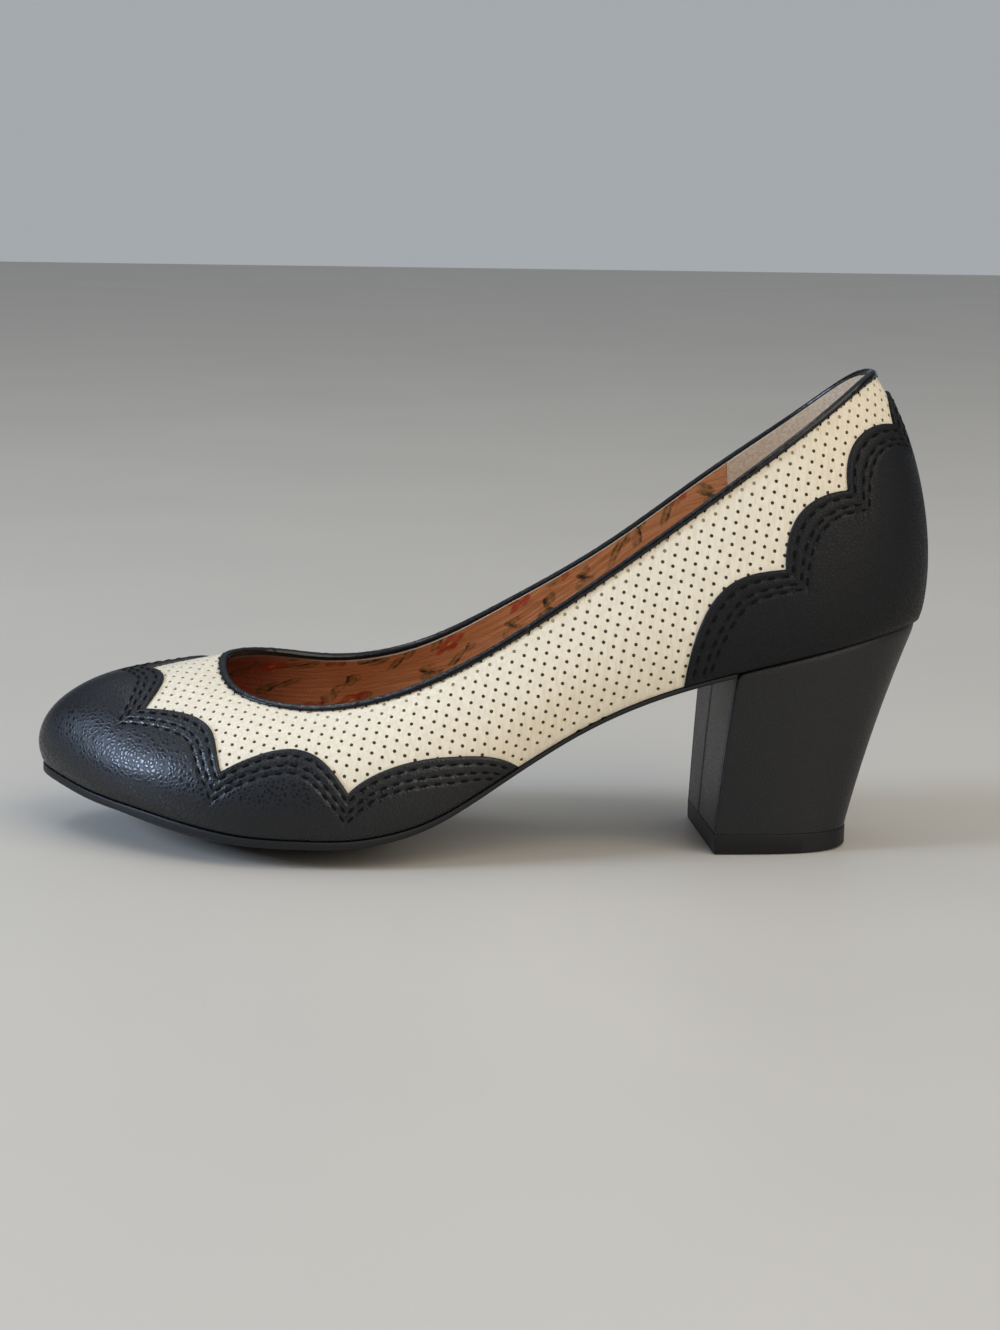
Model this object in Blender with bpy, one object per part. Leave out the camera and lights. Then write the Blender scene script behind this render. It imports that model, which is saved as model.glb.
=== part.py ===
# A left two-tone pump with a block heel, standing on its sole and its heel.
# X runs from toe (-) to heel (+), -Y is the outer side of the foot, +Y the inner side, Z is up.
# The upper is one surface S(u, v): u counts the section rows round the shoe, v climbs from sole to topline.

from collections import namedtuple

import bmesh
import bpy
import numpy as np

MM = 0.001

# Driving dimensions

WALL = 1.8 * MM                 # upper leather with its lining
GAP = 0.3 * MM                  # between pieces that touch
OVERLAY = 0.8 * MM              # leather of the toe cap and the heel counter
OVERLAY_LIFT = 0.45 * MM        # from the upper to the back of that leather
MARGIN_WIDTH = 8.0 * MM         # lasting margin turned in under the insole
MARGIN_THICKNESS = 1.2 * MM
INSOLE_THICKNESS = 2.4 * MM
INSOLE_INSET = 2.1 * MM         # from the feather line to the edge of the insole
OUTSOLE_THICKNESS = 2.1 * MM
OUTSOLE_LEDGE = 0.6 * MM        # how far the outsole stands out past the feather line
BINDING_LEG = 1.6 * MM          # depth of the binding on each face of the wall
BINDING_LEATHER = 0.7 * MM
BINDING_ROUND = 0.7             # how far its folded edge is rounded: 1 is square
HEEL_INSET = 0.4 * MM           # from the feather line to the top of the heel
LIFT_HEIGHT = 5.2 * MM          # rubber top piece under the heel
LIFT_FRONT = 61.4 * MM          # plan of the top piece
LIFT_LENGTH = 37.9 * MM
LIFT_HALF_WIDTH = 22.2 * MM
LIFT_ROUNDING = 0.62            # power of the curve round its back: 1 is an ellipse, 0 a box
LIFT_SKEW = 0.037               # slope of its front edge across the shoe
LIFT_LEDGE = 0.2 * MM           # how far it stands out past the heel
HEEL_HOLLOW = 0.25              # how much the heel's back and sides bow in on their way down

# Mesh fineness

ROUND_COLUMNS = 80              # columns round the upper
OUTER_STEPS = 10                # steps from sole to topline on the outer face
INNER_STEPS = 7                 # and on the inner face
MARGIN_STEPS = 2
SCALLOP_STEPS = 7               # columns in each scallop
OVERLAY_STEPS = 7
PLATE_STEPS = 34                # rungs along the outsole and the insole
HEEL_LEVELS = 9
HEEL_POINTS = 24
SHARP_EDGE = np.radians(40)     # faces that meet more steeply keep a sharp edge

# Section rows round the shoe in millimetres: toe, outer side to the heel, inner side to the toe.
# sole_*: the feather line in plan. belly_*: how the wall leaves it.
# top_*: the topline. roll_*: how the wall meets it.

Section = namedtuple("Section", "name sole_x sole_y belly_out belly_up top_x top_y top_z roll_out roll_down")

SECTIONS = [
    Section("toe", -116.0, 13.0, 5.0, 14.0, -67.5, 4.5, 45.8, 38.0, 1.0),
    Section("outer toe corner", -109.5, -1.0, 5.5, 14.0, -64.0, -9.5, 41.8, 24.0, 5.0),
    Section("outer toe", -94.0, -18.5, 5.5, 14.0, -53.0, -19.5, 39.4, 16.0, 8.0),
    Section("outer ball front", -68.0, -34.5, 5.0, 13.0, -36.0, -25.5, 40.2, 11.0, 9.0),
    Section("outer ball", -38.0, -40.0, 4.0, 12.0, -14.0, -27.0, 46.9, 8.0, 10.0),
    Section("outer waist front", -8.0, -35.5, 4.5, 13.0, 10.0, -25.5, 60.0, 5.0, 12.0),
    Section("outer waist", 25.0, -29.0, 4.5, 14.0, 36.0, -24.0, 77.6, 3.0, 13.0),
    Section("outer breast", 66.0, -27.0, 4.0, 14.0, 62.0, -22.5, 96.6, 3.0, 14.0),
    Section("outer heel", 92.0, -24.0, 4.0, 16.0, 85.0, -19.0, 113.8, 3.0, 16.0),
    Section("outer heel corner", 110.5, -13.5, 5.0, 20.0, 99.5, -10.0, 124.4, 6.0, 16.0),
    Section("heel", 118.0, 0.0, 5.0, 20.0, 103.5, 0.0, 126.0, 11.5, 14.0),
    Section("inner heel corner", 110.5, 13.5, 5.0, 20.0, 99.5, 10.0, 123.8, 6.0, 16.0),
    Section("inner heel", 92.0, 23.5, 4.0, 16.0, 85.0, 19.0, 112.0, 3.0, 16.0),
    Section("inner breast", 66.0, 24.5, 4.0, 14.0, 62.0, 22.0, 95.4, 3.0, 14.0),
    Section("inner waist", 25.0, 22.0, 5.0, 15.0, 36.0, 23.0, 76.2, 3.0, 13.0),
    Section("inner waist front", -8.0, 27.0, 5.0, 14.0, 10.0, 24.0, 60.5, 4.0, 12.0),
    Section("inner ball", -38.0, 36.5, 4.5, 13.0, -14.0, 25.5, 48.5, 7.0, 8.0),
    Section("inner ball front", -66.0, 39.0, 4.0, 13.0, -36.0, 25.0, 44.4, 10.0, 8.0),
    Section("inner toe", -92.0, 36.0, 5.0, 13.0, -53.0, 21.0, 46.4, 15.0, 6.0),
    Section("inner toe corner", -109.5, 26.5, 5.5, 14.0, -64.5, 12.5, 47.8, 24.0, 3.5),
]
ROWS = len(SECTIONS)
HEEL_ROW = ROWS // 2
OUTER_BREAST = 7.0              # the outsole ends and the heel begins between these two rows
INNER_BREAST = 13.09
PLATE_TIP = 0.12                # rows left out at the tip of a plate
ACROSS = (0, 0.1, 0.3, 0.5, 0.7, 0.9, 1)    # stations across a plate

# Side view of the last's bottom in millimetres: height of the feather line and how far the bottom bows below.

Bottom = namedtuple("Bottom", "x z crown")

BOTTOM = [
    Bottom(-120.0, 18.2, 0.0),
    Bottom(-112.0, 16.4, 1.2),
    Bottom(-104.0, 14.6, 2.6),
    Bottom(-96.0, 13.4, 4.2),
    Bottom(-88.0, 12.3, 5.9),
    Bottom(-76.0, 10.2, 6.6),
    Bottom(-62.0, 8.3, 6.1),
    Bottom(-46.0, 7.9, 6.0),
    Bottom(-34.0, 8.0, 5.9),
    Bottom(-24.0, 9.4, 5.3),
    Bottom(-14.0, 12.3, 4.4),
    Bottom(-4.0, 17.3, 3.4),
    Bottom(6.0, 23.4, 2.4),
    Bottom(16.0, 29.5, 1.6),
    Bottom(27.0, 35.7, 0.9),
    Bottom(40.0, 41.7, 0.3),
    Bottom(53.0, 46.2, 0.0),
    Bottom(66.0, 49.7, 0.0),
    Bottom(85.0, 54.2, 0.0),
    Bottom(104.0, 58.2, 0.0),
    Bottom(120.0, 61.2, 0.0),
]

# Scalloped edges on the outer side in (u, v): the valley where a scallop starts and the handles of its arc.
# The inner side mirrors them.

Scallop = namedtuple("Scallop", "u v out_u out_v in_u in_v")

OVERLAY_FOOT = 0.04             # v of the lower edge of both pieces
TOE_CAP_EDGE = [
    Scallop(0.00, 0.860, 0.45, 0.87, 0.80, 0.775),
    Scallop(0.95, 0.660, 1.26, 0.80, 2.10, 0.68),
    Scallop(2.64, 0.420, 2.66, 0.87, 3.70, 0.42),
    Scallop(3.92, 0.320, 4.26, 0.59, 5.25, 0.26),
    Scallop(5.54, 0.070, 5.54, 0.07, 5.54, 0.07),
]
COUNTER_EDGE = [
    Scallop(6.64, 0.070, 6.70, 0.55, 6.95, 0.58),
    Scallop(7.49, 0.457, 7.56, 0.66, 7.75, 0.72),
    Scallop(8.33, 0.631, 8.36, 0.83, 8.72, 0.82),
    Scallop(9.42, 0.762, 9.56, 0.83, 9.62, 0.89),
    Scallop(10.0, 0.890, 10.0, 0.89, 10.0, 0.89),
]

Paint = namedtuple("Paint", "colour roughness")

CREAM_LEATHER = Paint((0.80, 0.74, 0.60), 0.5)
BLACK_LEATHER = Paint((0.020, 0.020, 0.023), 0.4)
BROWN_LEATHER = Paint((0.36, 0.17, 0.08), 0.6)
BLACK_RUBBER = Paint((0.012, 0.012, 0.013), 0.7)


# Curves through the rows

def closed_bends(rows):
    """Second derivatives of the smooth closed curve through the rows, one row for each whole u."""
    count = len(rows)
    system = 4 * np.eye(count) + np.roll(np.eye(count), 1, axis=0) + np.roll(np.eye(count), -1, axis=0)
    sag = np.roll(rows, -1, axis=0) - 2 * rows + np.roll(rows, 1, axis=0)
    return np.linalg.solve(system, 6 * sag)


def along_rows(rows, bends, u):
    """Points of that closed curve at u."""
    count = len(rows)
    whole = np.floor(u).astype(int)
    part = (u - whole)[..., None]
    here, after = whole % count, (whole + 1) % count
    straight = rows[here] * (1 - part) + rows[after] * part
    return straight + (((1 - part) ** 3 - (1 - part)) * bends[here] + (part ** 3 - part) * bends[after]) / 6


SOLE_PLAN = np.array([(s.sole_x, s.sole_y) for s in SECTIONS]) * MM
TOPLINE = np.array([(s.top_x, s.top_y, s.top_z) for s in SECTIONS]) * MM
HANDLES = np.array([(s.belly_out, s.belly_up, s.roll_out, s.roll_down) for s in SECTIONS]) * MM
SOLE_BENDS, TOP_BENDS, HANDLE_BENDS = map(closed_bends, (SOLE_PLAN, TOPLINE, HANDLES))


def open_bends(x, rows):
    """Second derivatives of the smooth curves rows(x) that end straight."""
    step = np.diff(x)
    slope = np.diff(rows, axis=0) / step[:, None]
    system = np.eye(len(x))
    right = np.zeros_like(rows)
    for i in range(1, len(x) - 1):
        system[i, i - 1:i + 2] = step[i - 1], 2 * (step[i - 1] + step[i]), step[i]
        right[i] = 6 * (slope[i] - slope[i - 1])
    return np.linalg.solve(system, right)


BOTTOM_X = np.array([b.x for b in BOTTOM]) * MM
BOTTOM_ROWS = np.array([(b.z, b.crown) for b in BOTTOM]) * MM
BOTTOM_BENDS = open_bends(BOTTOM_X, BOTTOM_ROWS)


def bottom_at(x):
    """Height of the feather line at x, and how far the last's bottom bows below it."""
    i = np.clip(np.searchsorted(BOTTOM_X, x) - 1, 0, len(BOTTOM_X) - 2)
    width = BOTTOM_X[i + 1] - BOTTOM_X[i]
    after = np.clip((x - BOTTOM_X[i]) / width, 0, 1)[..., None]
    before = 1 - after
    bow = (before ** 3 - before) * BOTTOM_BENDS[i] + (after ** 3 - after) * BOTTOM_BENDS[i + 1]
    rows = before * BOTTOM_ROWS[i] + after * BOTTOM_ROWS[i + 1] + (width ** 2)[..., None] * bow / 6
    return rows[..., 0], rows[..., 1]


def outward(rows, bends, u):
    """Unit normals in plan, pointing out of the shoe."""
    step = 1e-3
    along = along_rows(rows, bends, u + step) - along_rows(rows, bends, u - step)
    normal = np.stack([along[..., 1], -along[..., 0]], axis=-1)
    return normal / np.linalg.norm(normal, axis=-1, keepdims=True)


def cubic(start, out, back, end, w):
    """The curve from start to end whose handles are out and back, at w."""
    return start * (1 - w) ** 3 + out * 3 * w * (1 - w) ** 2 + back * 3 * w ** 2 * (1 - w) + end * w ** 3


def raised(plan, z):
    return np.concatenate([plan, np.asarray(z)[..., None]], axis=-1)


def sole_plan(u, spread):
    """The feather line in plan, moved out by spread."""
    return along_rows(SOLE_PLAN, SOLE_BENDS, u) + outward(SOLE_PLAN, SOLE_BENDS, u) * spread


# The last's bottom

SIDE_SAMPLES = np.linspace(0, HEEL_ROW, 401)
OUTER_SIDE = sole_plan(SIDE_SAMPLES, 0)
INNER_SIDE = sole_plan(ROWS - SIDE_SAMPLES, 0)


def last_bottom(plan):
    """Height of the last's bottom: the feather line at both sides, bowed down by the crown between them."""
    x, y = plan[..., 0], plan[..., 1]
    outer = np.interp(x, np.maximum.accumulate(OUTER_SIDE[:, 0]), OUTER_SIDE[:, 1])
    inner = np.interp(x, np.maximum.accumulate(INNER_SIDE[:, 0]), INNER_SIDE[:, 1])
    across = np.clip((2 * y - outer - inner) / np.maximum(inner - outer, MM), -1, 1)
    height, crown = bottom_at(x)
    return height - crown * (1 - across ** 2)


# The upper's surface

def wall_points(u, v):
    """The wall's outer face: a cubic from the feather line to the topline at each u."""
    handle = along_rows(HANDLES, HANDLE_BENDS, u)
    plan = sole_plan(u, 0)
    foot = raised(plan, bottom_at(plan[..., 0])[0])
    top = along_rows(TOPLINE, TOP_BENDS, u)
    belly = foot + raised(outward(SOLE_PLAN, SOLE_BENDS, u) * handle[..., 0:1], handle[..., 1])
    roll = top + raised(outward(TOPLINE[:, :2], TOP_BENDS[:, :2], u) * handle[..., 2:3], -handle[..., 3])
    return cubic(foot, belly, roll, top, v[..., None])


def climb(u, v):
    """Unit tangents of the wall from sole to topline."""
    step = 1e-3
    rise = wall_points(u, v + step) - wall_points(u, v - step)
    return rise / np.linalg.norm(rise, axis=-1, keepdims=True)


def wall_normals(u, v):
    """Unit normals of the wall, pointing out of the shoe."""
    step = 1e-3
    round_shoe = wall_points(u + step, v) - wall_points(u - step, v)
    normal = np.cross(round_shoe, climb(u, v))
    return normal / np.linalg.norm(normal, axis=-1, keepdims=True)


def wall(u, v, offset=0.0):
    """The wall's face moved out by offset, or in where offset is negative."""
    u, v, offset = np.broadcast_arrays(np.asarray(u, float), np.asarray(v, float), np.asarray(offset, float))
    return wall_points(u, v) + wall_normals(u, v) * offset[..., None]


# Solids

def skin(name, sections, closed, paint):
    """A closed body through a row of closed sections: a ring, or a bar with both ends capped."""
    count, points = sections.shape[:2]
    index = np.arange(count * points).reshape(count, points)
    here, ahead = (index, np.roll(index, -1, axis=0)) if closed else (index[:-1], index[1:])
    sides = np.stack([here, np.roll(here, -1, axis=1), np.roll(ahead, -1, axis=1), ahead], axis=-1)
    faces = sides.reshape(-1, 4).tolist()
    if not closed:
        faces += [index[0, ::-1].tolist(), index[-1].tolist()]
    mesh = bpy.data.meshes.new(name)
    mesh.from_pydata(sections.reshape(-1, 3).tolist(), [], faces)
    body = bmesh.new()
    body.from_mesh(mesh)
    if body.calc_volume(signed=True) < 0:
        bmesh.ops.reverse_faces(body, faces=body.faces)
    body.to_mesh(mesh)
    body.free()
    mesh.shade_smooth()
    mesh.set_sharp_from_angle(angle=SHARP_EDGE)
    material = bpy.data.materials.new(name)
    material.use_nodes = True
    shader = material.node_tree.nodes["Principled BSDF"]
    shader.inputs["Base Color"].default_value = (*paint.colour, 1)
    shader.inputs["Roughness"].default_value = paint.roughness
    mesh.materials.append(material)
    bpy.context.collection.objects.link(bpy.data.objects.new(name, mesh))


def upper():
    """The wall with its lining, and the lasting margin turned in at its foot."""
    u = np.arange(ROUND_COLUMNS)[:, None] * ROWS / ROUND_COLUMNS
    outer = wall(u, np.linspace(0, 1, OUTER_STEPS + 1))
    inner = wall(u, np.linspace(1, OVERLAY_FOOT, INNER_STEPS + 1), -WALL)
    inset = np.linspace(WALL, MARGIN_WIDTH, MARGIN_STEPS + 1)
    plan = sole_plan(u + 0 * inset, -inset[:, None])
    under = raised(plan, last_bottom(plan))
    margin = np.concatenate([under + (0, 0, MARGIN_THICKNESS), under[:, :0:-1]], axis=1)
    skin("upper", np.concatenate([outer, inner, margin], axis=1), True, CREAM_LEATHER)


def binding():
    """A strip of leather folded over the topline: a channel section in the wall's own normal and tangent."""
    out, over = GAP + BINDING_LEATHER, -WALL - GAP
    back = over - BINDING_LEATHER
    ridge = GAP + BINDING_ROUND * BINDING_LEATHER
    channel = np.array([
        (GAP, -BINDING_LEG), (out, -BINDING_LEG), (out, 0), (ridge, ridge), (0, out), (-WALL, out),
        (-WALL - ridge, ridge), (back, 0), (back, -BINDING_LEG), (over, -BINDING_LEG), (over, GAP),
        (GAP, GAP),
    ])
    u = np.arange(ROUND_COLUMNS) * ROWS / ROUND_COLUMNS
    top = np.ones_like(u)
    normal, along = wall_normals(u, top), climb(u, top)
    offsets = channel[:, 0:1] * normal[:, None] + channel[:, 1:2] * along[:, None]
    skin("topline_binding", wall_points(u, top)[:, None] + offsets, True, BLACK_LEATHER)


def scalloped(edge):
    """Points (u, v) along a scalloped edge, closer together at the valleys."""
    w = (1 - np.cos(np.linspace(0, np.pi, SCALLOP_STEPS + 1)[:-1])) / 2
    w = w[:, None]
    arcs = [np.array([(edge[-1].u, edge[-1].v)])]
    for start, end in zip(edge[-2::-1], edge[:0:-1]):
        out, back = np.array((start.out_u, start.out_v)), np.array((start.in_u, start.in_v))
        valley, after = np.array((start.u, start.v)), np.array((end.u, end.v))
        arcs.insert(0, cubic(valley, out, back, after, w))
    return np.concatenate(arcs)


def overlay(name, edge, middle):
    """Leather over the upper, from the sole up to its scalloped edge on both sides of the middle row."""
    side = scalloped(edge)
    mirrored = side * (-1, 1) + (2 * middle, 0)
    if middle:
        rim = np.concatenate([side, mirrored[-2::-1]])
    else:
        rim = np.concatenate([mirrored[::-1], side[1:]])
    u, top = rim[:, 0:1], rim[:, 1:2]
    share = np.linspace(0, 1, OVERLAY_STEPS + 1)
    v = OVERLAY_FOOT + (top - OVERLAY_FOOT) * share
    face = wall(u, v, OVERLAY_LIFT + OVERLAY)
    back = wall(u, v[:, ::-1], OVERLAY_LIFT)
    skin(name, np.concatenate([face, back], axis=1), False, BLACK_LEATHER)


def plate(name, outer_end, inner_end, spread, low, high, paint):
    """A plate under the foot: rungs from the outer to the inner side, each between heights low and high."""
    share = np.array(ACROSS)[:, None]
    outer = sole_plan(np.linspace(PLATE_TIP, outer_end, PLATE_STEPS), spread)[:, None]
    inner = sole_plan(np.linspace(ROWS - PLATE_TIP, inner_end, PLATE_STEPS), spread)[:, None]
    plan = outer * (1 - share) + inner * share
    bottom = last_bottom(plan)
    top = raised(plan, bottom + high)
    base = raised(plan, np.maximum(bottom + low, 0))
    skin(name, np.concatenate([top, base[:, ::-1]], axis=1), False, paint)


def lift_outline(spread):
    """The top piece in plan: straight at the front, a rounded curve round the back."""
    turn = np.linspace(0, np.pi, HEEL_POINTS)
    back = np.abs(np.sin(turn)) ** LIFT_ROUNDING * (LIFT_LENGTH + spread)
    side = np.sign(np.cos(turn)) * np.abs(np.cos(turn)) ** LIFT_ROUNDING * (LIFT_HALF_WIDTH + spread)
    return np.stack([LIFT_FRONT + LIFT_SKEW * side + back, -side], axis=-1)


def heel():
    """A block from the seat down to the top piece."""
    seat = sole_plan(np.linspace(OUTER_BREAST, INNER_BREAST, HEEL_POINTS), -HEEL_INSET)
    seat[:, 0] += OUTSOLE_LEDGE
    seat_z = last_bottom(seat) - GAP
    foot = lift_outline(0.0)
    down = np.linspace(0, 1, HEEL_LEVELS)[:, None]
    drawn_in = (down * (1 + HEEL_HOLLOW - HEEL_HOLLOW * down))[..., None]
    plan = seat * (1 - drawn_in) + foot * drawn_in
    z = seat_z * (1 - down) + (LIFT_HEIGHT + GAP) * down
    skin("heel", raised(plan, z), False, BLACK_LEATHER)


def heel_top_lift():
    outline = lift_outline(LIFT_LEDGE)
    levels = [raised(outline, np.full(HEEL_POINTS, z)) for z in (0, LIFT_HEIGHT)]
    skin("heel_top_lift", np.array(levels), False, BLACK_RUBBER)


for old in list(bpy.data.objects):
    bpy.data.objects.remove(old)

upper()
binding()
overlay("toe_cap", TOE_CAP_EDGE, 0)
overlay("heel_counter", COUNTER_EDGE, HEEL_ROW)
outsole_base = -GAP - OUTSOLE_THICKNESS
plate("outsole", OUTER_BREAST, INNER_BREAST, OUTSOLE_LEDGE, outsole_base, -GAP, BLACK_RUBBER)
insole_base = MARGIN_THICKNESS + GAP
insole_top = insole_base + INSOLE_THICKNESS
back_end = HEEL_ROW - PLATE_TIP
plate("insole", back_end, ROWS - back_end, -INSOLE_INSET, insole_base, insole_top, BROWN_LEATHER)
heel()
heel_top_lift()
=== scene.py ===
# Two-tone pump: punched ivory calf, black calf toe cap and counter, bound topline and covered block heel.
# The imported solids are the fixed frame. Toe at -X, outer side at -Y, tables in millimetres.
import math

import bmesh
import bpy
import numpy as np
from mathutils import Matrix, Vector


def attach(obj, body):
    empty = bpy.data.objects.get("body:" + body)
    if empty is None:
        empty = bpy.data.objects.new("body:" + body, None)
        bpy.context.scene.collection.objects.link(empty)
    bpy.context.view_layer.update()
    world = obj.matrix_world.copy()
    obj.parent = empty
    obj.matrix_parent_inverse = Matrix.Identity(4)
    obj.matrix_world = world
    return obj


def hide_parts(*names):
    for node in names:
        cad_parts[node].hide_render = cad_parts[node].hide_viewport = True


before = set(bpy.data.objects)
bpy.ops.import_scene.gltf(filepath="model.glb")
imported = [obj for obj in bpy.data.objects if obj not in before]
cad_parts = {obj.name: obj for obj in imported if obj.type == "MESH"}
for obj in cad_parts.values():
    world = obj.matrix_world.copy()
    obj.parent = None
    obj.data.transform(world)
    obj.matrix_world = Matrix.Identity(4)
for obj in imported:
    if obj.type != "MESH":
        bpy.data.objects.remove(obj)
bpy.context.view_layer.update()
mm = 0.001
dice = np.random.default_rng(11)
tinyStep = 1e-3  # of u and v, for central differences

# The last: one row for each station round the shoe, toe, outer side, heel, inner side
# soleX soleY bellyOut bellyUp topX topY topZ rollOut rollDown
lastRows = mm * np.array([
    (-116.0, 13.0, 5.0, 14.0, -67.5, 4.5, 45.8, 38.0, 1.0),
    (-109.5, -1.0, 5.5, 14.0, -64.0, -9.5, 41.8, 24.0, 5.0),
    (-94.0, -18.5, 5.5, 14.0, -53.0, -19.5, 39.4, 16.0, 8.0),
    (-68.0, -34.5, 5.0, 13.0, -36.0, -25.5, 40.2, 11.0, 9.0),
    (-38.0, -40.0, 4.0, 12.0, -14.0, -27.0, 46.9, 8.0, 10.0),
    (-8.0, -35.5, 4.5, 13.0, 10.0, -25.5, 60.0, 5.0, 12.0),
    (25.0, -29.0, 4.5, 14.0, 36.0, -24.0, 77.6, 3.0, 13.0),
    (66.0, -27.0, 4.0, 14.0, 62.0, -22.5, 96.6, 3.0, 14.0),
    (92.0, -24.0, 4.0, 16.0, 85.0, -19.0, 113.8, 3.0, 16.0),
    (110.5, -13.5, 5.0, 20.0, 99.5, -10.0, 124.4, 6.0, 16.0),
    (118.0, 0.0, 5.0, 20.0, 103.5, 0.0, 126.0, 11.5, 14.0),
    (110.5, 13.5, 5.0, 20.0, 99.5, 10.0, 123.8, 6.0, 16.0),
    (92.0, 23.5, 4.0, 16.0, 85.0, 19.0, 112.0, 3.0, 16.0),
    (66.0, 24.5, 4.0, 14.0, 62.0, 22.0, 95.4, 3.0, 14.0),
    (25.0, 22.0, 5.0, 15.0, 36.0, 23.0, 76.2, 3.0, 13.0),
    (-8.0, 27.0, 5.0, 14.0, 10.0, 24.0, 60.5, 4.0, 12.0),
    (-38.0, 36.5, 4.5, 13.0, -14.0, 25.5, 48.5, 7.0, 8.0),
    (-66.0, 39.0, 4.0, 13.0, -36.0, 25.0, 44.4, 10.0, 8.0),
    (-92.0, 36.0, 5.0, 13.0, -53.0, 21.0, 46.4, 15.0, 6.0),
    (-109.5, 26.5, 5.5, 14.0, -64.5, 12.5, 47.8, 24.0, 3.5),
])
rowCount = len(lastRows)
halfRound = rowCount / 2  # u at the heel
featherPlan, toplinePlan = slice(0, 2), slice(4, 6)  # columns of the table

# Side view of the last's bottom: x, height of the feather line, how far the bottom bows below it
bottomRows = mm * np.array([
    (-120, 18.2, 0.0), (-112, 16.4, 1.2), (-104, 14.6, 2.6), (-96, 13.4, 4.2), (-88, 12.3, 5.9),
    (-76, 10.2, 6.6), (-62, 8.3, 6.1), (-46, 7.9, 6.0), (-34, 8.0, 5.9), (-24, 9.4, 5.3),
    (-14, 12.3, 4.4), (-4, 17.3, 3.4), (6, 23.4, 2.4), (16, 29.5, 1.6), (27, 35.7, 0.9),
    (40, 41.7, 0.3), (53, 46.2, 0.0), (66, 49.7, 0.0), (85, 54.2, 0.0), (104, 58.2, 0.0), (120, 61.2, 0.0),
])

# The vamp dips behind the toe cap: depth, then the middle and half width of the dip in u and in v
vampSaddle = dict(depth=1.2, atU=-0.5, spanU=1.3, atV=0.82, spanV=0.14)

# Scallops in (u, v), in the order of u: a valley, then the two handles of the arc to the next valley
capLobes = [(-5.06, 0.005, -4.65, 0.42, -3.42, 0.60), (-3.35, 0.340, -3.15, 0.45, -1.98, 0.93),
            (-1.95, 0.560, -1.45, 0.88, -0.75, 0.93), (-0.27, 0.780, 0.02, 0.870, 0.43, 0.883),
            (0.92, 0.665, 1.40, 0.885, 2.15, 0.63), (2.67, 0.405, 2.60, 0.80, 3.25, 0.66),
            (3.92, 0.320, 3.98, 0.60, 5.15, 0.42), (5.56, 0.005)]
counterLobes = [(6.65, 0.005, 6.70, 0.625, 7.06, 0.52), (7.49, 0.457, 7.56, 0.66, 7.75, 0.72),
                (8.33, 0.631, 8.36, 0.83, 8.72, 0.82), (9.42, 0.762, 9.56, 0.933, 10.44, 0.933),
                (10.58, 0.762, 11.28, 0.82, 11.64, 0.83), (11.67, 0.631, 12.25, 0.72, 12.44, 0.66),
                (12.51, 0.457, 12.94, 0.52, 13.30, 0.625), (13.35, 0.005)]


def closedBends(rows):  # second derivatives of the closed cubic spline, one row at each whole u
    ring = np.eye(len(rows))
    system = 4 * ring + np.roll(ring, 1, axis=0) + np.roll(ring, -1, axis=0)
    return np.linalg.solve(system, 6 * (np.roll(rows, -1, axis=0) - 2 * rows + np.roll(rows, 1, axis=0)))


def alongRows(rows, bends, u):  # that spline at u: the chord plus the cubic share of both bends
    whole = np.floor(u).astype(int)
    part = (u - whole)[..., None]
    here, after, left = whole % len(rows), (whole + 1) % len(rows), 1 - part
    chord = rows[here] * left + rows[after] * part
    return chord + ((left ** 3 - left) * bends[here] + (part ** 3 - part) * bends[after]) / 6


lastBends = closedBends(lastRows)


def openBends(x, rows):  # second derivatives of the cubic spline through rows(x) with straight ends
    step = np.diff(x)
    slope = np.diff(rows, axis=0) / step[:, None]
    inner = np.arange(1, len(x) - 1)
    system, right = np.eye(len(x)), np.zeros_like(rows)
    system[inner, inner - 1], system[inner, inner + 1] = step[:-1], step[1:]
    system[inner, inner] = 2 * (step[:-1] + step[1:])
    right[inner] = 6 * np.diff(slope, axis=0)
    return np.linalg.solve(system, right)


bottomX, bottomBends = bottomRows[:, 0], openBends(bottomRows[:, 0], bottomRows[:, 1:])


def bottomAt(x):  # feather height and crown at x, from the open spline
    i = np.clip(np.searchsorted(bottomX, x) - 1, 0, len(bottomX) - 2)
    width = (bottomX[i + 1] - bottomX[i])[..., None]
    part = np.clip((x - bottomX[i])[..., None] / width, 0, 1)
    left = 1 - part
    bow = (left ** 3 - left) * bottomBends[i] + (part ** 3 - part) * bottomBends[i + 1]
    return np.moveaxis(left * bottomRows[i, 1:] + part * bottomRows[i + 1, 1:] + width ** 2 * bow / 6, -1, 0)


def unit(a):  # each vector over its own length
    return a / np.maximum(np.linalg.norm(a, axis=-1, keepdims=True), 1e-12)


def planNormal(columns, u):  # outward normal in plan of two columns of the last's spline
    rows, bends = lastRows[:, columns], lastBends[:, columns]
    t = alongRows(rows, bends, u + tinyStep) - alongRows(rows, bends, u - tinyStep)
    return unit(np.stack([t[..., 1], -t[..., 0]], axis=-1))


def lifted(plan, z):  # plan points at height z
    return np.concatenate([plan, np.broadcast_to(z, plan.shape[:-1])[..., None]], axis=-1)


def soleEdge(u, spread):  # feather line in plan, moved out by spread
    line = alongRows(lastRows[:, featherPlan], lastBends[:, featherPlan], u)
    return line + planNormal(featherPlan, u) * np.asarray(spread)[..., None]


sideU = np.linspace(0, halfRound, 801)
outerSide, innerSide = soleEdge(sideU, 0.0), soleEdge(rowCount - sideU, 0.0)


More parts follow.
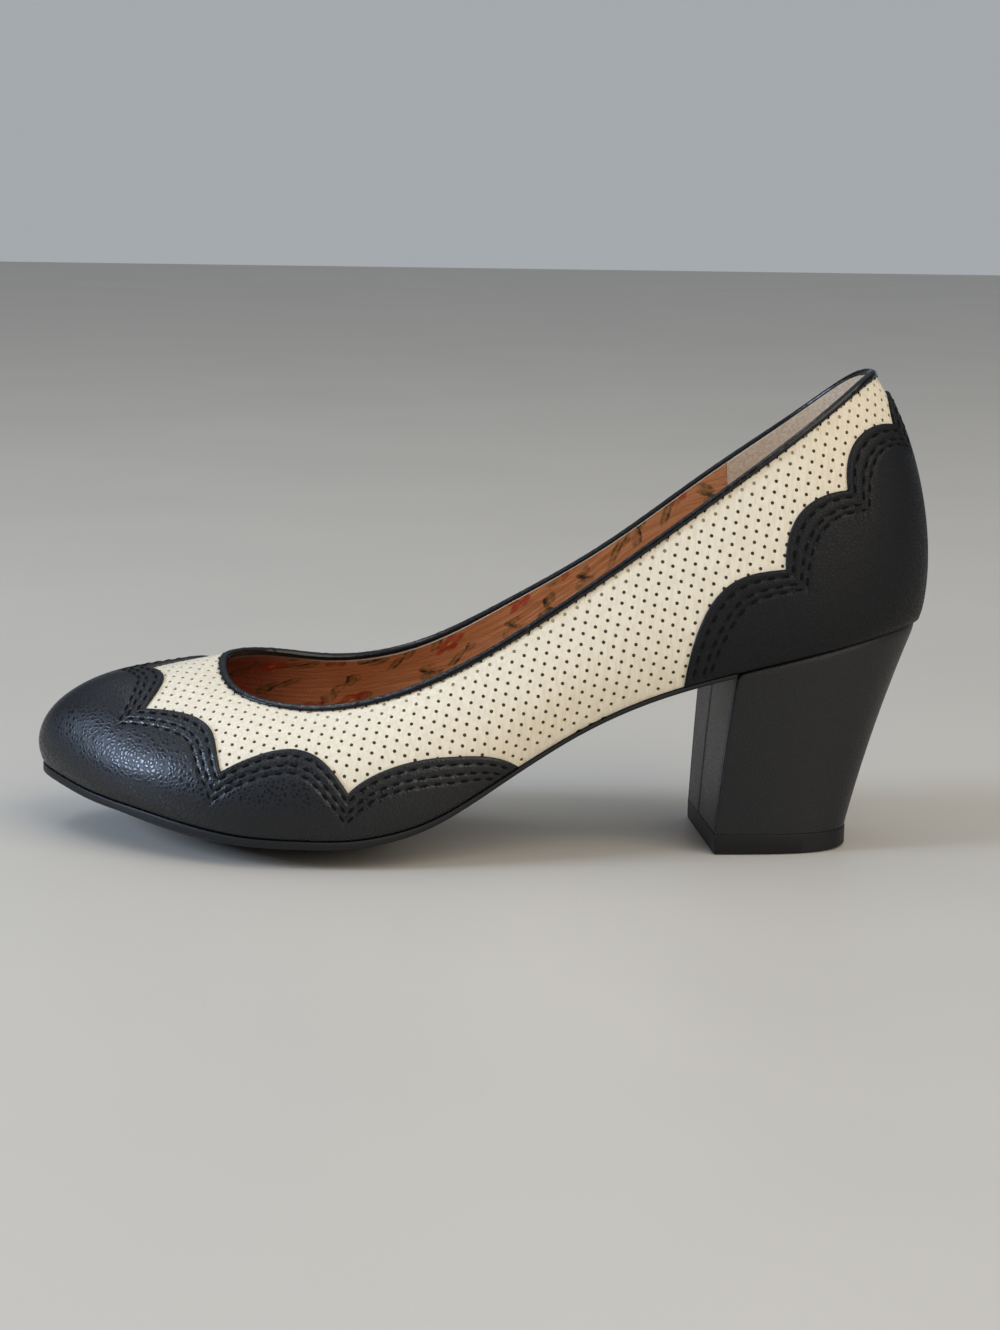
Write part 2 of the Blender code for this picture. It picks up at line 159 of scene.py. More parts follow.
def lastBottom(plan):  # the feather height less the crown times one minus the square of the place across
    x = plan[..., 0]
    outer = np.interp(x, np.maximum.accumulate(outerSide[:, 0]), outerSide[:, 1])
    inner = np.interp(x, np.maximum.accumulate(innerSide[:, 0]), innerSide[:, 1])
    across = np.clip((2 * plan[..., 1] - outer - inner) / np.maximum(inner - outer, mm), -1, 1)
    height, crown = bottomAt(x)
    return height - crown * (1 - across ** 2)


def cubic(a, b, c, d, w):  # Bezier from a to d with handles b and c
    return a * (1 - w) ** 3 + b * 3 * w * (1 - w) ** 2 + c * 3 * w ** 2 * (1 - w) + d * w ** 3


def wallPoint(u, v):
    # The upper's face: at each u a Bezier from the feather line to the topline, less a bell-shaped vamp dip
    row = alongRows(lastRows, lastBends, u)
    plan = row[..., featherPlan]
    foot = lifted(plan, bottomAt(plan[..., 0])[0])
    belly = foot + lifted(planNormal(featherPlan, u) * row[..., 2:3], row[..., 3])
    top = row[..., 4:7]
    roll = top + lifted(planNormal(toplinePlan, u) * row[..., 7:8], -row[..., 8])
    fromToe = (u + halfRound) % rowCount - halfRound
    apartU = (fromToe - vampSaddle["atU"]) / vampSaddle["spanU"]
    apartV = (v - vampSaddle["atV"]) / vampSaddle["spanV"]
    dip = np.exp(-(apartU ** 2 + apartV ** 2)) * vampSaddle["depth"] * mm
    return cubic(foot, belly, roll, top, v[..., None]) - dip[..., None] * np.array([0, 0, 1])


def wallSlopes(u, v):  # the face and its two central differences
    along = (wallPoint(u + tinyStep, v) - wallPoint(u - tinyStep, v)) / (2 * tinyStep)
    climb = (wallPoint(u, v + tinyStep) - wallPoint(u, v - tinyStep)) / (2 * tinyStep)
    return wallPoint(u, v), along, climb


def wallFrame(u, v):  # point, outward normal, unit climb
    point, along, climb = wallSlopes(u, v)
    return point, unit(np.cross(along, climb)), unit(climb)


def wallAt(u, v, offset):  # the face moved out by offset along its normal
    u, v, offset = np.broadcast_arrays(u, v, offset)
    point, normal, _ = wallFrame(u, v)
    return point + normal * offset[..., None]


def landOn(u, v, target, steps):
    # Newton steps to the face point nearest the target, from the normal equations
    for _ in range(steps):
        point, along, climb = wallSlopes(u, v)
        gap = target - point
        a, b, c = (along * along).sum(-1), (along * climb).sum(-1), (climb * climb).sum(-1)
        p, q = (along * gap).sum(-1), (climb * gap).sum(-1)
        det = a * c - b * b
        u, v = u + (c * p - b * q) / det, v + (a * q - b * p) / det
    return u, v


def runAlong(points):  # length from the first point to each point of a line
    return np.concatenate([[0], np.cumsum(np.linalg.norm(np.diff(points, axis=0), axis=1))])


# Meshes and materials

def gridFaces(index, closedAlong=False, closedRound=False):
    # Quads between neighbouring rows of an index grid
    a = np.concatenate([index, index[:1]]) if closedAlong else index
    a = np.concatenate([a, a[:, :1]], axis=1) if closedRound else a
    return np.stack([a[:-1, :-1], a[1:, :-1], a[1:, 1:], a[:-1, 1:]], axis=-1).reshape(-1, 4)


def addPiece(name, points, faces, materials, slots=None, uv=None, sharp=None, outward=False, weld=0.0):
    # One mesh at the origin, riding on the root body; doubles merged and faces turned outwards where asked
    mesh = bpy.data.meshes.new(name)
    mesh.from_pydata(np.asarray(points).reshape(-1, 3).tolist(), [], [list(f) for f in faces])
    for material in materials:
        mesh.materials.append(material)
    if slots is not None:
        mesh.polygons.foreach_set("material_index", np.asarray(slots, np.int32))
    if uv is not None:
        corner = np.empty(len(mesh.loops), np.int32)
        mesh.loops.foreach_get("vertex_index", corner)
        layer = mesh.uv_layers.new(name="leatherFlat")
        layer.data.foreach_set("uv", np.asarray(uv, np.float32).reshape(-1, 2)[corner].ravel())
    if weld or outward:
        body = bmesh.new()
        body.from_mesh(mesh)
        if weld:
            bmesh.ops.remove_doubles(body, verts=body.verts, dist=weld)
        if outward and body.calc_volume(signed=True) < 0:
            bmesh.ops.reverse_faces(body, faces=body.faces)
        body.to_mesh(mesh)
        body.free()
    mesh.shade_smooth()
    if sharp is not None:
        mesh.set_sharp_from_angle(angle=math.radians(sharp))
    piece = bpy.data.objects.new(name, mesh)
    bpy.context.scene.collection.objects.link(piece)
    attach(piece, "root")
    return piece


def ringBar(rings, closed):
    # Faces of closed sections carried along a path, ends capped where the path is open
    index = np.arange(rings.shape[0] * rings.shape[1]).reshape(rings.shape[:2])
    faces = gridFaces(index, closed, True).tolist()
    return faces if closed else faces + [index[0, ::-1].tolist(), index[-1].tolist()]


def linear(code, alpha=1.0):  # sRGB hex to linear
    share = np.array([int(code[i:i + 2], 16) for i in (1, 3, 5)]) / 255
    return (*np.where(share <= 0.04045, share / 12.92, ((share + 0.055) / 1.055) ** 2.4), alpha)


def addNode(tree, kind, sockets=(), out=0, **settings):
    # One node: its kind and operation, its settings, its sockets as links or values; gives one of its outputs
    kind, *operation = kind.split()
    made = tree.nodes.new("ShaderNode" + kind)
    if operation:
        made.operation = operation[0]
    for name, value in settings.items():
        setattr(made, name, value)
    for name, value in sockets.items() if isinstance(sockets, dict) else enumerate(sockets):
        if isinstance(value, bpy.types.NodeSocket):
            tree.links.new(value, made.inputs[name])
        else:
            made.inputs[name].default_value = value
    return made.outputs[out]


smooth = dict(interpolation_type="SMOOTHSTEP")  # MapRange sockets: value, from low, high, to low, high
colourMix = dict(data_type="RGBA", out=2)  # Mix sockets: 0 is the share, 6 and 7 are the colours


def startMaterial(name, roughness, ior=1.5, shine=0.5):  # a plain shader with these values
    material = bpy.data.materials.new(name)
    material.use_nodes = True
    shader = material.node_tree.nodes["Principled BSDF"]
    for socket, value in (("Roughness", roughness), ("IOR", ior), ("Specular IOR Level", shine)):
        shader.inputs[socket].default_value = value
    return material, material.node_tree, shader


def leather(look):
    # Tanned hide under a pigment finish: a net of creases round pebbles with painted shade in them, soft
    # cloudy tone, satin gloss.
    # Real pebbles are 0.6 to 0.9 mm. Those of the cap, counter and heel are drawn coarser so that they show.
    material, tree, shader = startMaterial(look["name"], look["gloss"], shine=look["shine"])
    grain = look["grain"] * mm
    where = addNode(tree, "TexCoord", out="Object")
    warp = addNode(tree, "TexNoise", {"Vector": where, "Scale": 1 / (3 * grain), "Detail": 2.0}, out="Color")
    bent = addNode(tree, "VectorMath MULTIPLY", (warp, (grain * 0.7,) * 3))
    place = addNode(tree, "VectorMath ADD", (where, bent))
    pebble = addNode(tree, "TexVoronoi", {"Vector": place, "Scale": 1 / grain}, feature="DISTANCE_TO_EDGE")
    dome = addNode(tree, "MapRange", (pebble, 0.0, look["round"]), **smooth)
    pore = addNode(tree, "TexNoise", {"Vector": where, "Scale": 1 / (0.35 * grain), "Detail": 3.0})
    height = addNode(tree, "Math MULTIPLY", (dome, look["pebble"]))
    height = addNode(tree, "Math MULTIPLY_ADD", (pore, look["pore"], height))
    if "streak" in look:  # lasting pulls fine upright lines into the hide
        drawn = addNode(tree, "VectorMath MULTIPLY", (where, (1.0, 1.0, 0.12)))
        lines = addNode(tree, "TexNoise", {"Vector": drawn, "Scale": 1 / (0.9 * mm), "Detail": 2.0})
        height = addNode(tree, "Math MULTIPLY_ADD", (lines, look["streak"], height))
        # the upright lines take the painted crease shade in place of the pebbles' creases
        dome = addNode(tree, "MapRange", (lines, 0.38, 0.6), **smooth)
    bump = addNode(tree, "Bump", {"Height": height, "Strength": look["bump"], "Distance": look["depth"] * mm})
    cloud = addNode(tree, "TexNoise", {"Vector": where, "Scale": 1 / (look["cloud"] * mm), "Detail": 4.0,
                                       "Roughness": 0.6})
    tone = addNode(tree, "MapRange", (cloud, 0.3, 0.7))
    base = addNode(tree, "Mix", {0: tone, 6: linear(look["dark"]), 7: linear(look["light"])}, **colourMix)
    # painted shade: the creases take a darker colour
    creaseShaded = addNode(tree, "Mix", {0: dome, 6: linear(look["creaseShade"]), 7: base}, **colourMix)
    rough = addNode(tree, "MapRange", (cloud, 0.25, 0.75, look["gloss"] - 0.06, look["gloss"] + 0.07))
    if "dull" in look:  # polish takes on the pebbles' tops and never reaches the creases
        rough = addNode(tree, "MapRange", (dome, 0.0, 1.0, look["dull"], rough))
    for made, socket in ((creaseShaded, "Base Color"), (rough, "Roughness"), (bump, "Normal")):
        tree.links.new(made, shader.inputs[socket])
    return material


def plainFinish(look):
    # One cast or spun stuff: even colour with a fine speckle and a matching faint relief
    material, tree, shader = startMaterial(look["name"], look["gloss"], shine=look["shine"])
    where = addNode(tree, "TexCoord", out="Object")
    speck = addNode(tree, "TexNoise", {"Vector": where, "Scale": 1 / (look["speck"] * mm), "Detail": 4.0})
    tone = addNode(tree, "MapRange", (speck, 0.35, 0.65))
    base = addNode(tree, "Mix", {0: tone, 6: linear(look["dark"]), 7: linear(look["light"])}, **colourMix)
    # painted light: the first rows of holes below the topline are painted pale for the light that falls into
    # them there
    if "tapeAndLight" in look:  # a pale tape behind the topline shows through the first rows of holes
        flat = addNode(tree, "UVMap", uv_map="leatherFlat")
        below = addNode(tree, "SeparateXYZ", (flat,), out="Y")
        tapedAndLit = addNode(tree, "MapRange", (below, look["tapeAndLightEnds"] * mm, look["tapeAndLightFull"] * mm), **smooth)
        base = addNode(tree, "Mix", {0: tapedAndLit, 6: base, 7: linear(look["tapeAndLight"])}, **colourMix)
    bump = addNode(tree, "Bump", {"Height": speck, "Strength": look["bump"], "Distance": look["depth"] * mm})
    tree.links.new(base, shader.inputs["Base Color"])
    tree.links.new(bump, shader.inputs["Normal"])
    return material


# Calf with a pale pigment coat: satin, drawn so tight on the last that fine upright lines show, in relief and
# in painted shade
ivoryCalf = leather(dict(name="ivoryCalf", light="#E5DBC4", dark="#E0D5BD", creaseShade="#DCD0B7", grain=0.8,
                         round=0.35, pebble=0.25, pore=0.2, depth=0.08, bump=0.85, cloud=16, gloss=0.46,
                         shine=0.5, streak=3.8))
# Uncoated inside of the same hide, cut by the punch: pale, matt and fibrous
punchedCore = plainFinish(dict(name="punchedCore", light="#E0D2B4", dark="#C8B892", speck=0.3, bump=0.3,
                               depth=0.05, gloss=0.85, shine=0.5))
# Woven backer at the foot of the holes: dark brown, painted pale near the topline for the light that falls
# into the holes there, over the topline's tape
holeFloor = plainFinish(dict(name="holeFloor", light="#5E5034", dark="#403521", tapeAndLight="#BBAE8E", tapeAndLightEnds=7.5,
                             tapeAndLightFull=2.0, speck=0.4, bump=0.2, depth=0.05, gloss=0.9, shine=0.5))
# Inside of a needle hole: painted shade, near black, as hardly any light comes back
needleHoleShade = plainFinish(dict(name="needleHoleShade", light="#060606", dark="#030303", speck=0.4, bump=0.2,
                               depth=0.05, gloss=0.95, shine=0.05))
# Pebbled black calf, polished: small wet-looking glints on the pebbles between dull creases in painted shade
blackCalf = leather(dict(name="blackCalf", light="#0B0D12", dark="#07080C", creaseShade="#040507", grain=1.2,
                         round=0.3, pebble=1.0, pore=0.08, depth=0.075, bump=0.5, cloud=9, gloss=0.2,
                         shine=0.45, dull=0.5))
# The same calf with next to no polish: soft and even
counterCalf = leather(dict(name="counterCalf", light="#0B0D12", dark="#07080C", creaseShade="#040507", grain=1.0,
                           round=0.3, pebble=1.0, pore=0.2, depth=0.06, bump=0.6, cloud=9, gloss=0.4,
                           shine=0.26, dull=0.6))
# Thin glazed nappa, pulled tight over a fold: a narrow bright line along the bead
bindingNappa = leather(dict(name="bindingNappa", light="#0C0C0E", dark="#070708", creaseShade="#050505", grain=0.7,
                            round=0.5, pebble=1.0, pore=0.15, depth=0.06, bump=0.45, cloud=6, gloss=0.15,
                            shine=0.42))
# Nappa glued over the heel block: fine grain with a broad soft sheen
heelNappa = leather(dict(name="heelNappa", light="#0A0C11", dark="#06080B", creaseShade="#040507", grain=1.0,
                         round=0.3, pebble=1.0, pore=0.3, depth=0.06, bump=0.7, cloud=12, gloss=0.38,
                         shine=0.46, dull=0.48))
# Waxed polyester thread: black, slightly fuzzy, no real highlight
waxedThread = plainFinish(dict(name="waxedThread", light="#0C0C0F", dark="#070708", speck=0.35, bump=0.5,
                               depth=0.08, gloss=0.8, shine=0.12))
# Moulded polyurethane sole: black and half matt, with the mould's faint orange peel
solePolymer = plainFinish(dict(name="solePolymer", light="#0B0C0D", dark="#070808", speck=1.6, bump=0.25,
                               depth=0.06, gloss=0.5, shine=0.35))
# Hard rubber top piece, trimmed on a wheel: black with a fine drag
liftRubber = plainFinish(dict(name="liftRubber", light="#0A0A0B", dark="#060607", speck=0.9, bump=0.3,
                              depth=0.06, gloss=0.5, shine=0.35))
# Undyed suede: pale nap, no gloss
gripSuede = plainFinish(dict(name="gripSuede", light="#DFCFB7", dark="#C6B49A", speck=0.7, bump=0.6,
                             depth=0.12, gloss=0.92, shine=0.5))

liningPrint = dict(light="#D4976A", dark="#BA7C4D", toeShade="#8C4A33", toeShadeFrom=-42.0, toeShadeTo=-64.0,
                   leaf="#4A4816", twig="#170F0A", petal="#A8321F", heart="#D79A42", sprig=11.0, leafLong=8.5,
                   leafWide=3.8, vein=0.32, twigWidth=(0.28, 0.6), twigReach=(4.8, 5.6), twigBow=0.03,
                   cell=19.0, bloom=9.0, petalDip=0.42, heartWidth=(0.5, 0.95), sprigSkips=0.25,
                   bloomSkips=0.3, fleck=2.2, cloud=11.0, grain=0.7, wrinkle=1.8)


def printedLining(look):
    # Vegetable-tanned lining, printed before lasting: matt tan hide, faded blossoms and leaf sprigs in ink,
    # and painted shade darkening it towards the toe
    material, tree, shader = startMaterial("printedLining", 0.58, 1.48)
    flat = addNode(tree, "UVMap", uv_map="leatherFlat")
    where = addNode(tree, "TexCoord", out="Object")

    def motif(cell):
        # Place from the nearest seed of a jittered net, in millimetres, turned by the seed's own angle
        seed = addNode(tree, "TexVoronoi", {"Vector": flat, "Scale": 1 / (cell * mm), "Randomness": 0.75},
                       out="Position", feature="F1", voronoi_dimensions="2D")
        gap = addNode(tree, "VectorMath SUBTRACT", (flat, seed))
        chance = addNode(tree, "SeparateColor", (seed.node.outputs["Color"],))
        spin = addNode(tree, "Math MULTIPLY", (chance, 6.3))
        turned = addNode(tree, "VectorRotate", {"Vector": gap, "Angle": spin}, rotation_type="Z_AXIS")
        axes = addNode(tree, "SeparateXYZ", (turned,)).node.outputs
        x, y = (addNode(tree, "Math MULTIPLY", (axis, 1 / mm)) for axis in axes[:2])
        return x, y, chance.node.outputs[1]

    fade = addNode(tree, "TexNoise", {"Vector": where, "Scale": 1 / (look["fleck"] * mm), "Detail": 5.0,
                                      "Roughness": 0.65})
    worn = addNode(tree, "MapRange", (fade, 0.32, 0.62))
    cloud = addNode(tree, "TexNoise", {"Vector": where, "Scale": 1 / (look["cloud"] * mm), "Detail": 4.0})
    hide = addNode(tree, "Mix", {0: cloud, 6: linear(look["dark"]), 7: linear(look["light"])}, **colourMix)
    length = addNode(tree, "SeparateXYZ", (where,), out="X")
    toeShadeShare = addNode(tree, "MapRange", (length, look["toeShadeFrom"] * mm, look["toeShadeTo"] * mm), **smooth)
    # painted shade: darker towards the toe, where shade falls deep in the shoe
    hide = addNode(tree, "Mix", {0: toeShadeShare, 6: hide, 7: linear(look["toeShade"])}, **colourMix)

    x, y, kind = motif(look["sprig"])  # leaf sprigs: two pointed leaves on a bent twig
    bow = addNode(tree, "Math MULTIPLY_ADD", (addNode(tree, "Math MULTIPLY", (x, x)), look["twigBow"], y))

    def leafShape(alongTwig, offTwig, long, wide):
        # Half width falls with the square of the place along, to a point at both ends; the vein is paler
        place = addNode(tree, "Math DIVIDE", (addNode(tree, "Math SUBTRACT", (x, alongTwig)), long / 2))
        square = addNode(tree, "Math MULTIPLY", (place, place))
        half = addNode(tree, "Math MULTIPLY_ADD", (square, -wide / 2, wide / 2))
        off = addNode(tree, "Math ABSOLUTE", (addNode(tree, "Math SUBTRACT", (bow, offTwig)),))
        beside = addNode(tree, "Math SUBTRACT", (look["vein"], off))
        vein = addNode(tree, "MapRange", (beside, -0.12, 0.12, 1.0, 0.0), **smooth)
        past = addNode(tree, "Math SUBTRACT", (off, half))
        blade = addNode(tree, "MapRange", (past, -0.3, 0.25, 1.0, 0.0), **smooth)
        return addNode(tree, "Math MULTIPLY", (blade, addNode(tree, "Math MULTIPLY_ADD", (vein, 0.45, 0.55))))

    upper = leafShape(2.2, 1.5, look["leafLong"], look["leafWide"])
    lower = leafShape(-2.2, -1.3, look["leafLong"] * 0.85, look["leafWide"] * 0.9)
    leaves = addNode(tree, "Math MAXIMUM", (upper, lower))
    line = addNode(tree, "MapRange", (addNode(tree, "Math ABSOLUTE", (bow,)), *look["twigWidth"], 1.0, 0.0),
                   **smooth)
    ends = addNode(tree, "MapRange", (addNode(tree, "Math ABSOLUTE", (x,)), *look["twigReach"], 1.0, 0.0),
                   **smooth)
    twig = addNode(tree, "Math MULTIPLY", (line, ends))
    some = addNode(tree, "Math GREATER_THAN", (kind, look["sprigSkips"]))
    for share, strength, ink in ((leaves, 0.8, "leaf"), (twig, 0.9, "twig")):
        for part in (some, worn, strength):
            share = addNode(tree, "Math MULTIPLY", (share, part))
        hide = addNode(tree, "Mix", {0: share, 6: hide, 7: linear(look[ink])}, **colourMix)

    x, y, kind = motif(look["cell"])  # blossoms: the radius swings five times round
    swing = addNode(tree, "Math MULTIPLY", (addNode(tree, "Math ARCTAN2", (y, x)), 2.5))
    lobe = addNode(tree, "Math ABSOLUTE", (addNode(tree, "Math COSINE", (swing,)),))
    dip, radius = look["petalDip"], look["bloom"] / 2
    reach = addNode(tree, "Math MULTIPLY_ADD", (lobe, dip * radius, (1 - dip) * radius))
    squares = [addNode(tree, "Math MULTIPLY", (axis, axis)) for axis in (x, y)]
    away = addNode(tree, "Math SQRT", (addNode(tree, "Math ADD", squares),))
    petal = addNode(tree, "MapRange", (addNode(tree, "Math DIVIDE", (away, reach)), 0.85, 1.1, 1.0, 0.0),
                    **smooth)
    few = addNode(tree, "Math GREATER_THAN", (kind, look["bloomSkips"]))
    ink = addNode(tree, "Math MULTIPLY_ADD", (worn, 0.6, 0.3))
    petals = addNode(tree, "Math MULTIPLY", (addNode(tree, "Math MULTIPLY", (petal, few)), ink))
    heart = addNode(tree, "MapRange", (away, *look["heartWidth"], 1.0, 0.0), **smooth)
    heart = addNode(tree, "Math MULTIPLY", (heart, few))
    for share, ink in ((petals, "petal"), (heart, "heart")):
        hide = addNode(tree, "Mix", {0: share, 6: hide, 7: linear(look[ink])}, **colourMix)
    grain = addNode(tree, "TexNoise", {"Vector": where, "Scale": 1 / (look["grain"] * mm), "Detail": 4.0})
    drawn = addNode(tree, "VectorMath MULTIPLY", (flat, (0.1, 1.0, 1.0)))  # wrinkles run along the sheet
    wrinkle = addNode(tree, "TexNoise", {"Vector": drawn, "Scale": 1 / (look["wrinkle"] * mm), "Detail": 3.0})
    relief = addNode(tree, "Math MULTIPLY_ADD", (wrinkle, 3.0, grain))
    bump = addNode(tree, "Bump", {"Height": relief, "Strength": 0.7, "Distance": 0.2 * mm})
    tree.links.new(hide, shader.inputs["Base Color"])
    tree.links.new(bump, shader.inputs["Normal"])
    return material


def cutEdge(look):
    # Cut edge of the lining: dark brown at the front round the throat, going over to pale fibre behind it
    material, tree, shader = startMaterial("cutEdge", 0.8, 1.48)
    where = addNode(tree, "TexCoord", out="Object")
    speck = addNode(tree, "TexNoise", {"Vector": where, "Scale": 1 / (look["speck"] * mm), "Detail": 4.0})
    hide = addNode(tree, "Mix", {0: speck, 6: linear(look["gap"]), 7: linear(look["fibre"])}, **colourMix)
    length = addNode(tree, "SeparateXYZ", (where,), out="X")
    paleShare = addNode(tree, "MapRange", (length, look["darkToneEnds"] * mm, look["fibreStarts"] * mm))
    tone = addNode(tree, "Mix", {0: paleShare, 6: linear(look["ink"]), 7: hide}, **colourMix)
    bump = addNode(tree, "Bump", {"Height": speck, "Strength": 0.6, "Distance": 0.1 * mm})
    tree.links.new(tone, shader.inputs["Base Color"])
    tree.links.new(bump, shader.inputs["Normal"])
    return material


liningCalf = printedLining(liningPrint)
rawEdge = cutEdge(dict(ink="#3A2116", fibre="#C2B39B", gap="#94866E", speck=0.5, darkToneEnds=-52.0,
                       fibreStarts=12.0))
print("materials ready")


# Ivory upper, punched flat and then lasted

ivoryUpper = dict(rowPitch=3.58, rowGap=2.24, rowTilt=29.0, tiltAtU=6.4, tiltAtW=0.6, holeWidth=1.0,
                  holeDepth=0.42, dish=0.05, columns=121, rows=15, relaxing=90, search=9.0, overhang=2.1,
                  margin=0.02, heelMargin=0.03)
# u and v of the line where it ends under the black pieces
lowEnd = np.array([(-10.0, 0.66), (-9.42, 0.62), (-8.33, 0.50), (-7.49, 0.34), (-6.9, 0.08), (-6.66, 0.0),
                   (-4.7, 0.0), (-4.3, 0.06), (-3.35, 0.21), (-1.95, 0.42), (-0.9, 0.60), (-0.27, 0.64),
                   (0.92, 0.53), (2.0, 0.36), (2.64, 0.30), (3.92, 0.20), (4.8, 0.06), (5.2, 0.0),
                   (6.66, 0.0), (6.9, 0.08), (7.49, 0.34), (8.33, 0.50), (9.42, 0.62), (10.0, 0.66)])


def upperV(u, w):  # w runs from the hidden lower end to the topline
    low = np.interp(u, lowEnd[:, 0], lowEnd[:, 1])
    return low + (1 - low) * w


def crossOf(a, b):  # signed area between flat vectors
    return a[..., 0] * b[..., 1] - a[..., 1] * b[..., 0]


def flattened(size):
    # The lasted sheet laid flat: each triangle keeps its shape and turns freely, and corners settle to the
    # least-squares fit (turn every triangle to its best angle, solve the cotangent system, repeat)
    u, w = np.meshgrid(np.linspace(-halfRound, halfRound, size["columns"]), np.linspace(0, 1, size["rows"]),
                       indexing="ij")
    lasted = wallPoint(u, upperV(u, w))
    face = lasted.reshape(-1, 3)
    quad = gridFaces(np.arange(u.size).reshape(u.shape))
    tri = np.concatenate([quad[:, [0, 1, 2]], quad[:, [0, 2, 3]]])
    span = np.linalg.norm(np.diff(lasted, axis=1), axis=-1)
    fromTop = np.concatenate([np.cumsum(span[:, ::-1], axis=1)[:, ::-1], np.zeros((len(u), 1))], axis=1)
    topPlan = alongRows(lastRows, lastBends, u)[..., toplinePlan]
    flat = (topPlan + planNormal(toplinePlan, u) * fromTop[..., None]).reshape(-1, 2)
    turned = crossOf(flat[tri[:, 1]] - flat[tri[:, 0]], flat[tri[:, 2]] - flat[tri[:, 0]]) < 0
    tri = np.where(turned[:, None], tri[:, [0, 2, 1]], tri)
    ab, ac = face[tri[:, 1]] - face[tri[:, 0]], face[tri[:, 2]] - face[tri[:, 0]]
    lengthAB = np.linalg.norm(ab, axis=1)
    cx = (ab * ac).sum(1) / lengthAB
    cy = np.sqrt(np.maximum((ac * ac).sum(1) - cx ** 2, 1e-14))
    local = np.zeros((len(tri), 3, 2))  # each triangle in its own plane
    local[:, 1, 0], local[:, 2, 0], local[:, 2, 1] = lengthAB, cx, cy
    system = np.zeros((len(face), len(face)))
    weights, ends = [], []
    for k in range(3):  # the edge facing corner k
        i, j = (k + 1) % 3, (k + 2) % 3
        p, q = local[:, i] - local[:, k], local[:, j] - local[:, k]
        cotangent = (p * q).sum(1) / np.maximum(np.abs(crossOf(p, q)), 1e-12)
        weight = np.clip(cotangent, 0.02, 20) / 2
        for row, col, sign in ((i, i, 1), (j, j, 1), (i, j, -1), (j, i, -1)):
            np.add.at(system, (tri[:, row], tri[:, col]), sign * weight)
        weights.append(weight)
        ends.append((i, j))
    system[0, 0] += 1.0  # the first corner stays where it is
    solve = np.linalg.inv(system)
    for _ in range(size["relaxing"]):
        dot, cross = 0.0, 0.0
        for weight, (i, j) in zip(weights, ends):
            x, f = local[:, j] - local[:, i], flat[tri[:, j]] - flat[tri[:, i]]
            dot = dot + weight * (x * f).sum(1)
            cross = cross + weight * crossOf(x, f)
        turn = np.arctan2(cross, dot)
        c, s = np.cos(turn), np.sin(turn)
        right = np.zeros_like(flat)
        for weight, (i, j) in zip(weights, ends):
            x = local[:, j] - local[:, i]
            pull = weight[:, None] * np.stack([c * x[:, 0] - s * x[:, 1], s * x[:, 0] + c * x[:, 1]], axis=1)
            np.add.at(right, tri[:, j], pull)
            np.add.at(right, tri[:, i], -pull)
        right[0] += flat[0]
        flat = solve @ right
    return flat.reshape(*u.shape, 2)


flatSheet = flattened(ivoryUpper)
sheetRows, sheetCols = flatSheet.shape[0] - 1, flatSheet.shape[1] - 1


def flatAt(u, w):  # bilinear place on the flat sheet, with both slopes, run on past its edges
    x, y = (u + halfRound) / rowCount * sheetRows, w * sheetCols
    i = np.clip(np.floor(x).astype(int), 0, sheetRows - 1)
    j = np.clip(np.floor(y).astype(int), 0, sheetCols - 1)
    fx, fy = (x - i)[..., None], (y - j)[..., None]
    a, b, c, d = flatSheet[i, j], flatSheet[i + 1, j], flatSheet[i, j + 1], flatSheet[i + 1, j + 1]
    place = a * (1 - fx) * (1 - fy) + b * fx * (1 - fy) + c * (1 - fx) * fy + d * fx * fy
    alongU = ((b - a) * (1 - fy) + (d - c) * fy) * sheetRows / rowCount
    return place, alongU, ((c - a) * (1 - fx) + (d - b) * fx) * sheetCols


def unflatten(target, u, w, steps=10):  # Newton steps from a guess to the (u, w) that lies flat at the target
    for _ in range(steps):
        place, alongU, alongW = flatAt(u, w)
        gap = target - place
        det = crossOf(alongU, alongW)
        u = u + np.clip(crossOf(gap, alongW) / det, -0.6, 0.6)
        w = w + np.clip(crossOf(alongU, gap) / det, -0.3, 0.3)
    return u, w


def onSheet(u, w):  # drawn back to the sheet's ends
    return np.clip(u, -halfRound, halfRound), np.clip(w, 0, 1)


def punchSteps(size):
    # The two steps of the staggered punch pattern, its rows at their tilt where the side is flattest
    u, w = np.array(size["tiltAtU"]), np.array(size["tiltAtW"])
    _, along, climb = wallSlopes(u, upperV(u, w))
    tilt = math.radians(size["rowTilt"])
    low = np.interp(size["tiltAtU"], lowEnd[:, 0], lowEnd[:, 1])
    basis = np.stack([along, climb * (1 - low)], axis=1)
    du, dw = np.linalg.lstsq(basis, np.array([math.cos(tilt), 0, math.sin(tilt)]), rcond=None)[0]
    _, alongU, alongW = flatAt(u, w)
    east = unit(alongU * du + alongW * dw)
    north = np.array([-east[1], east[0]])
    return [(sign * east * size["rowPitch"] / 2 + north * size["rowGap"]) * mm for sign in (1, -1)]


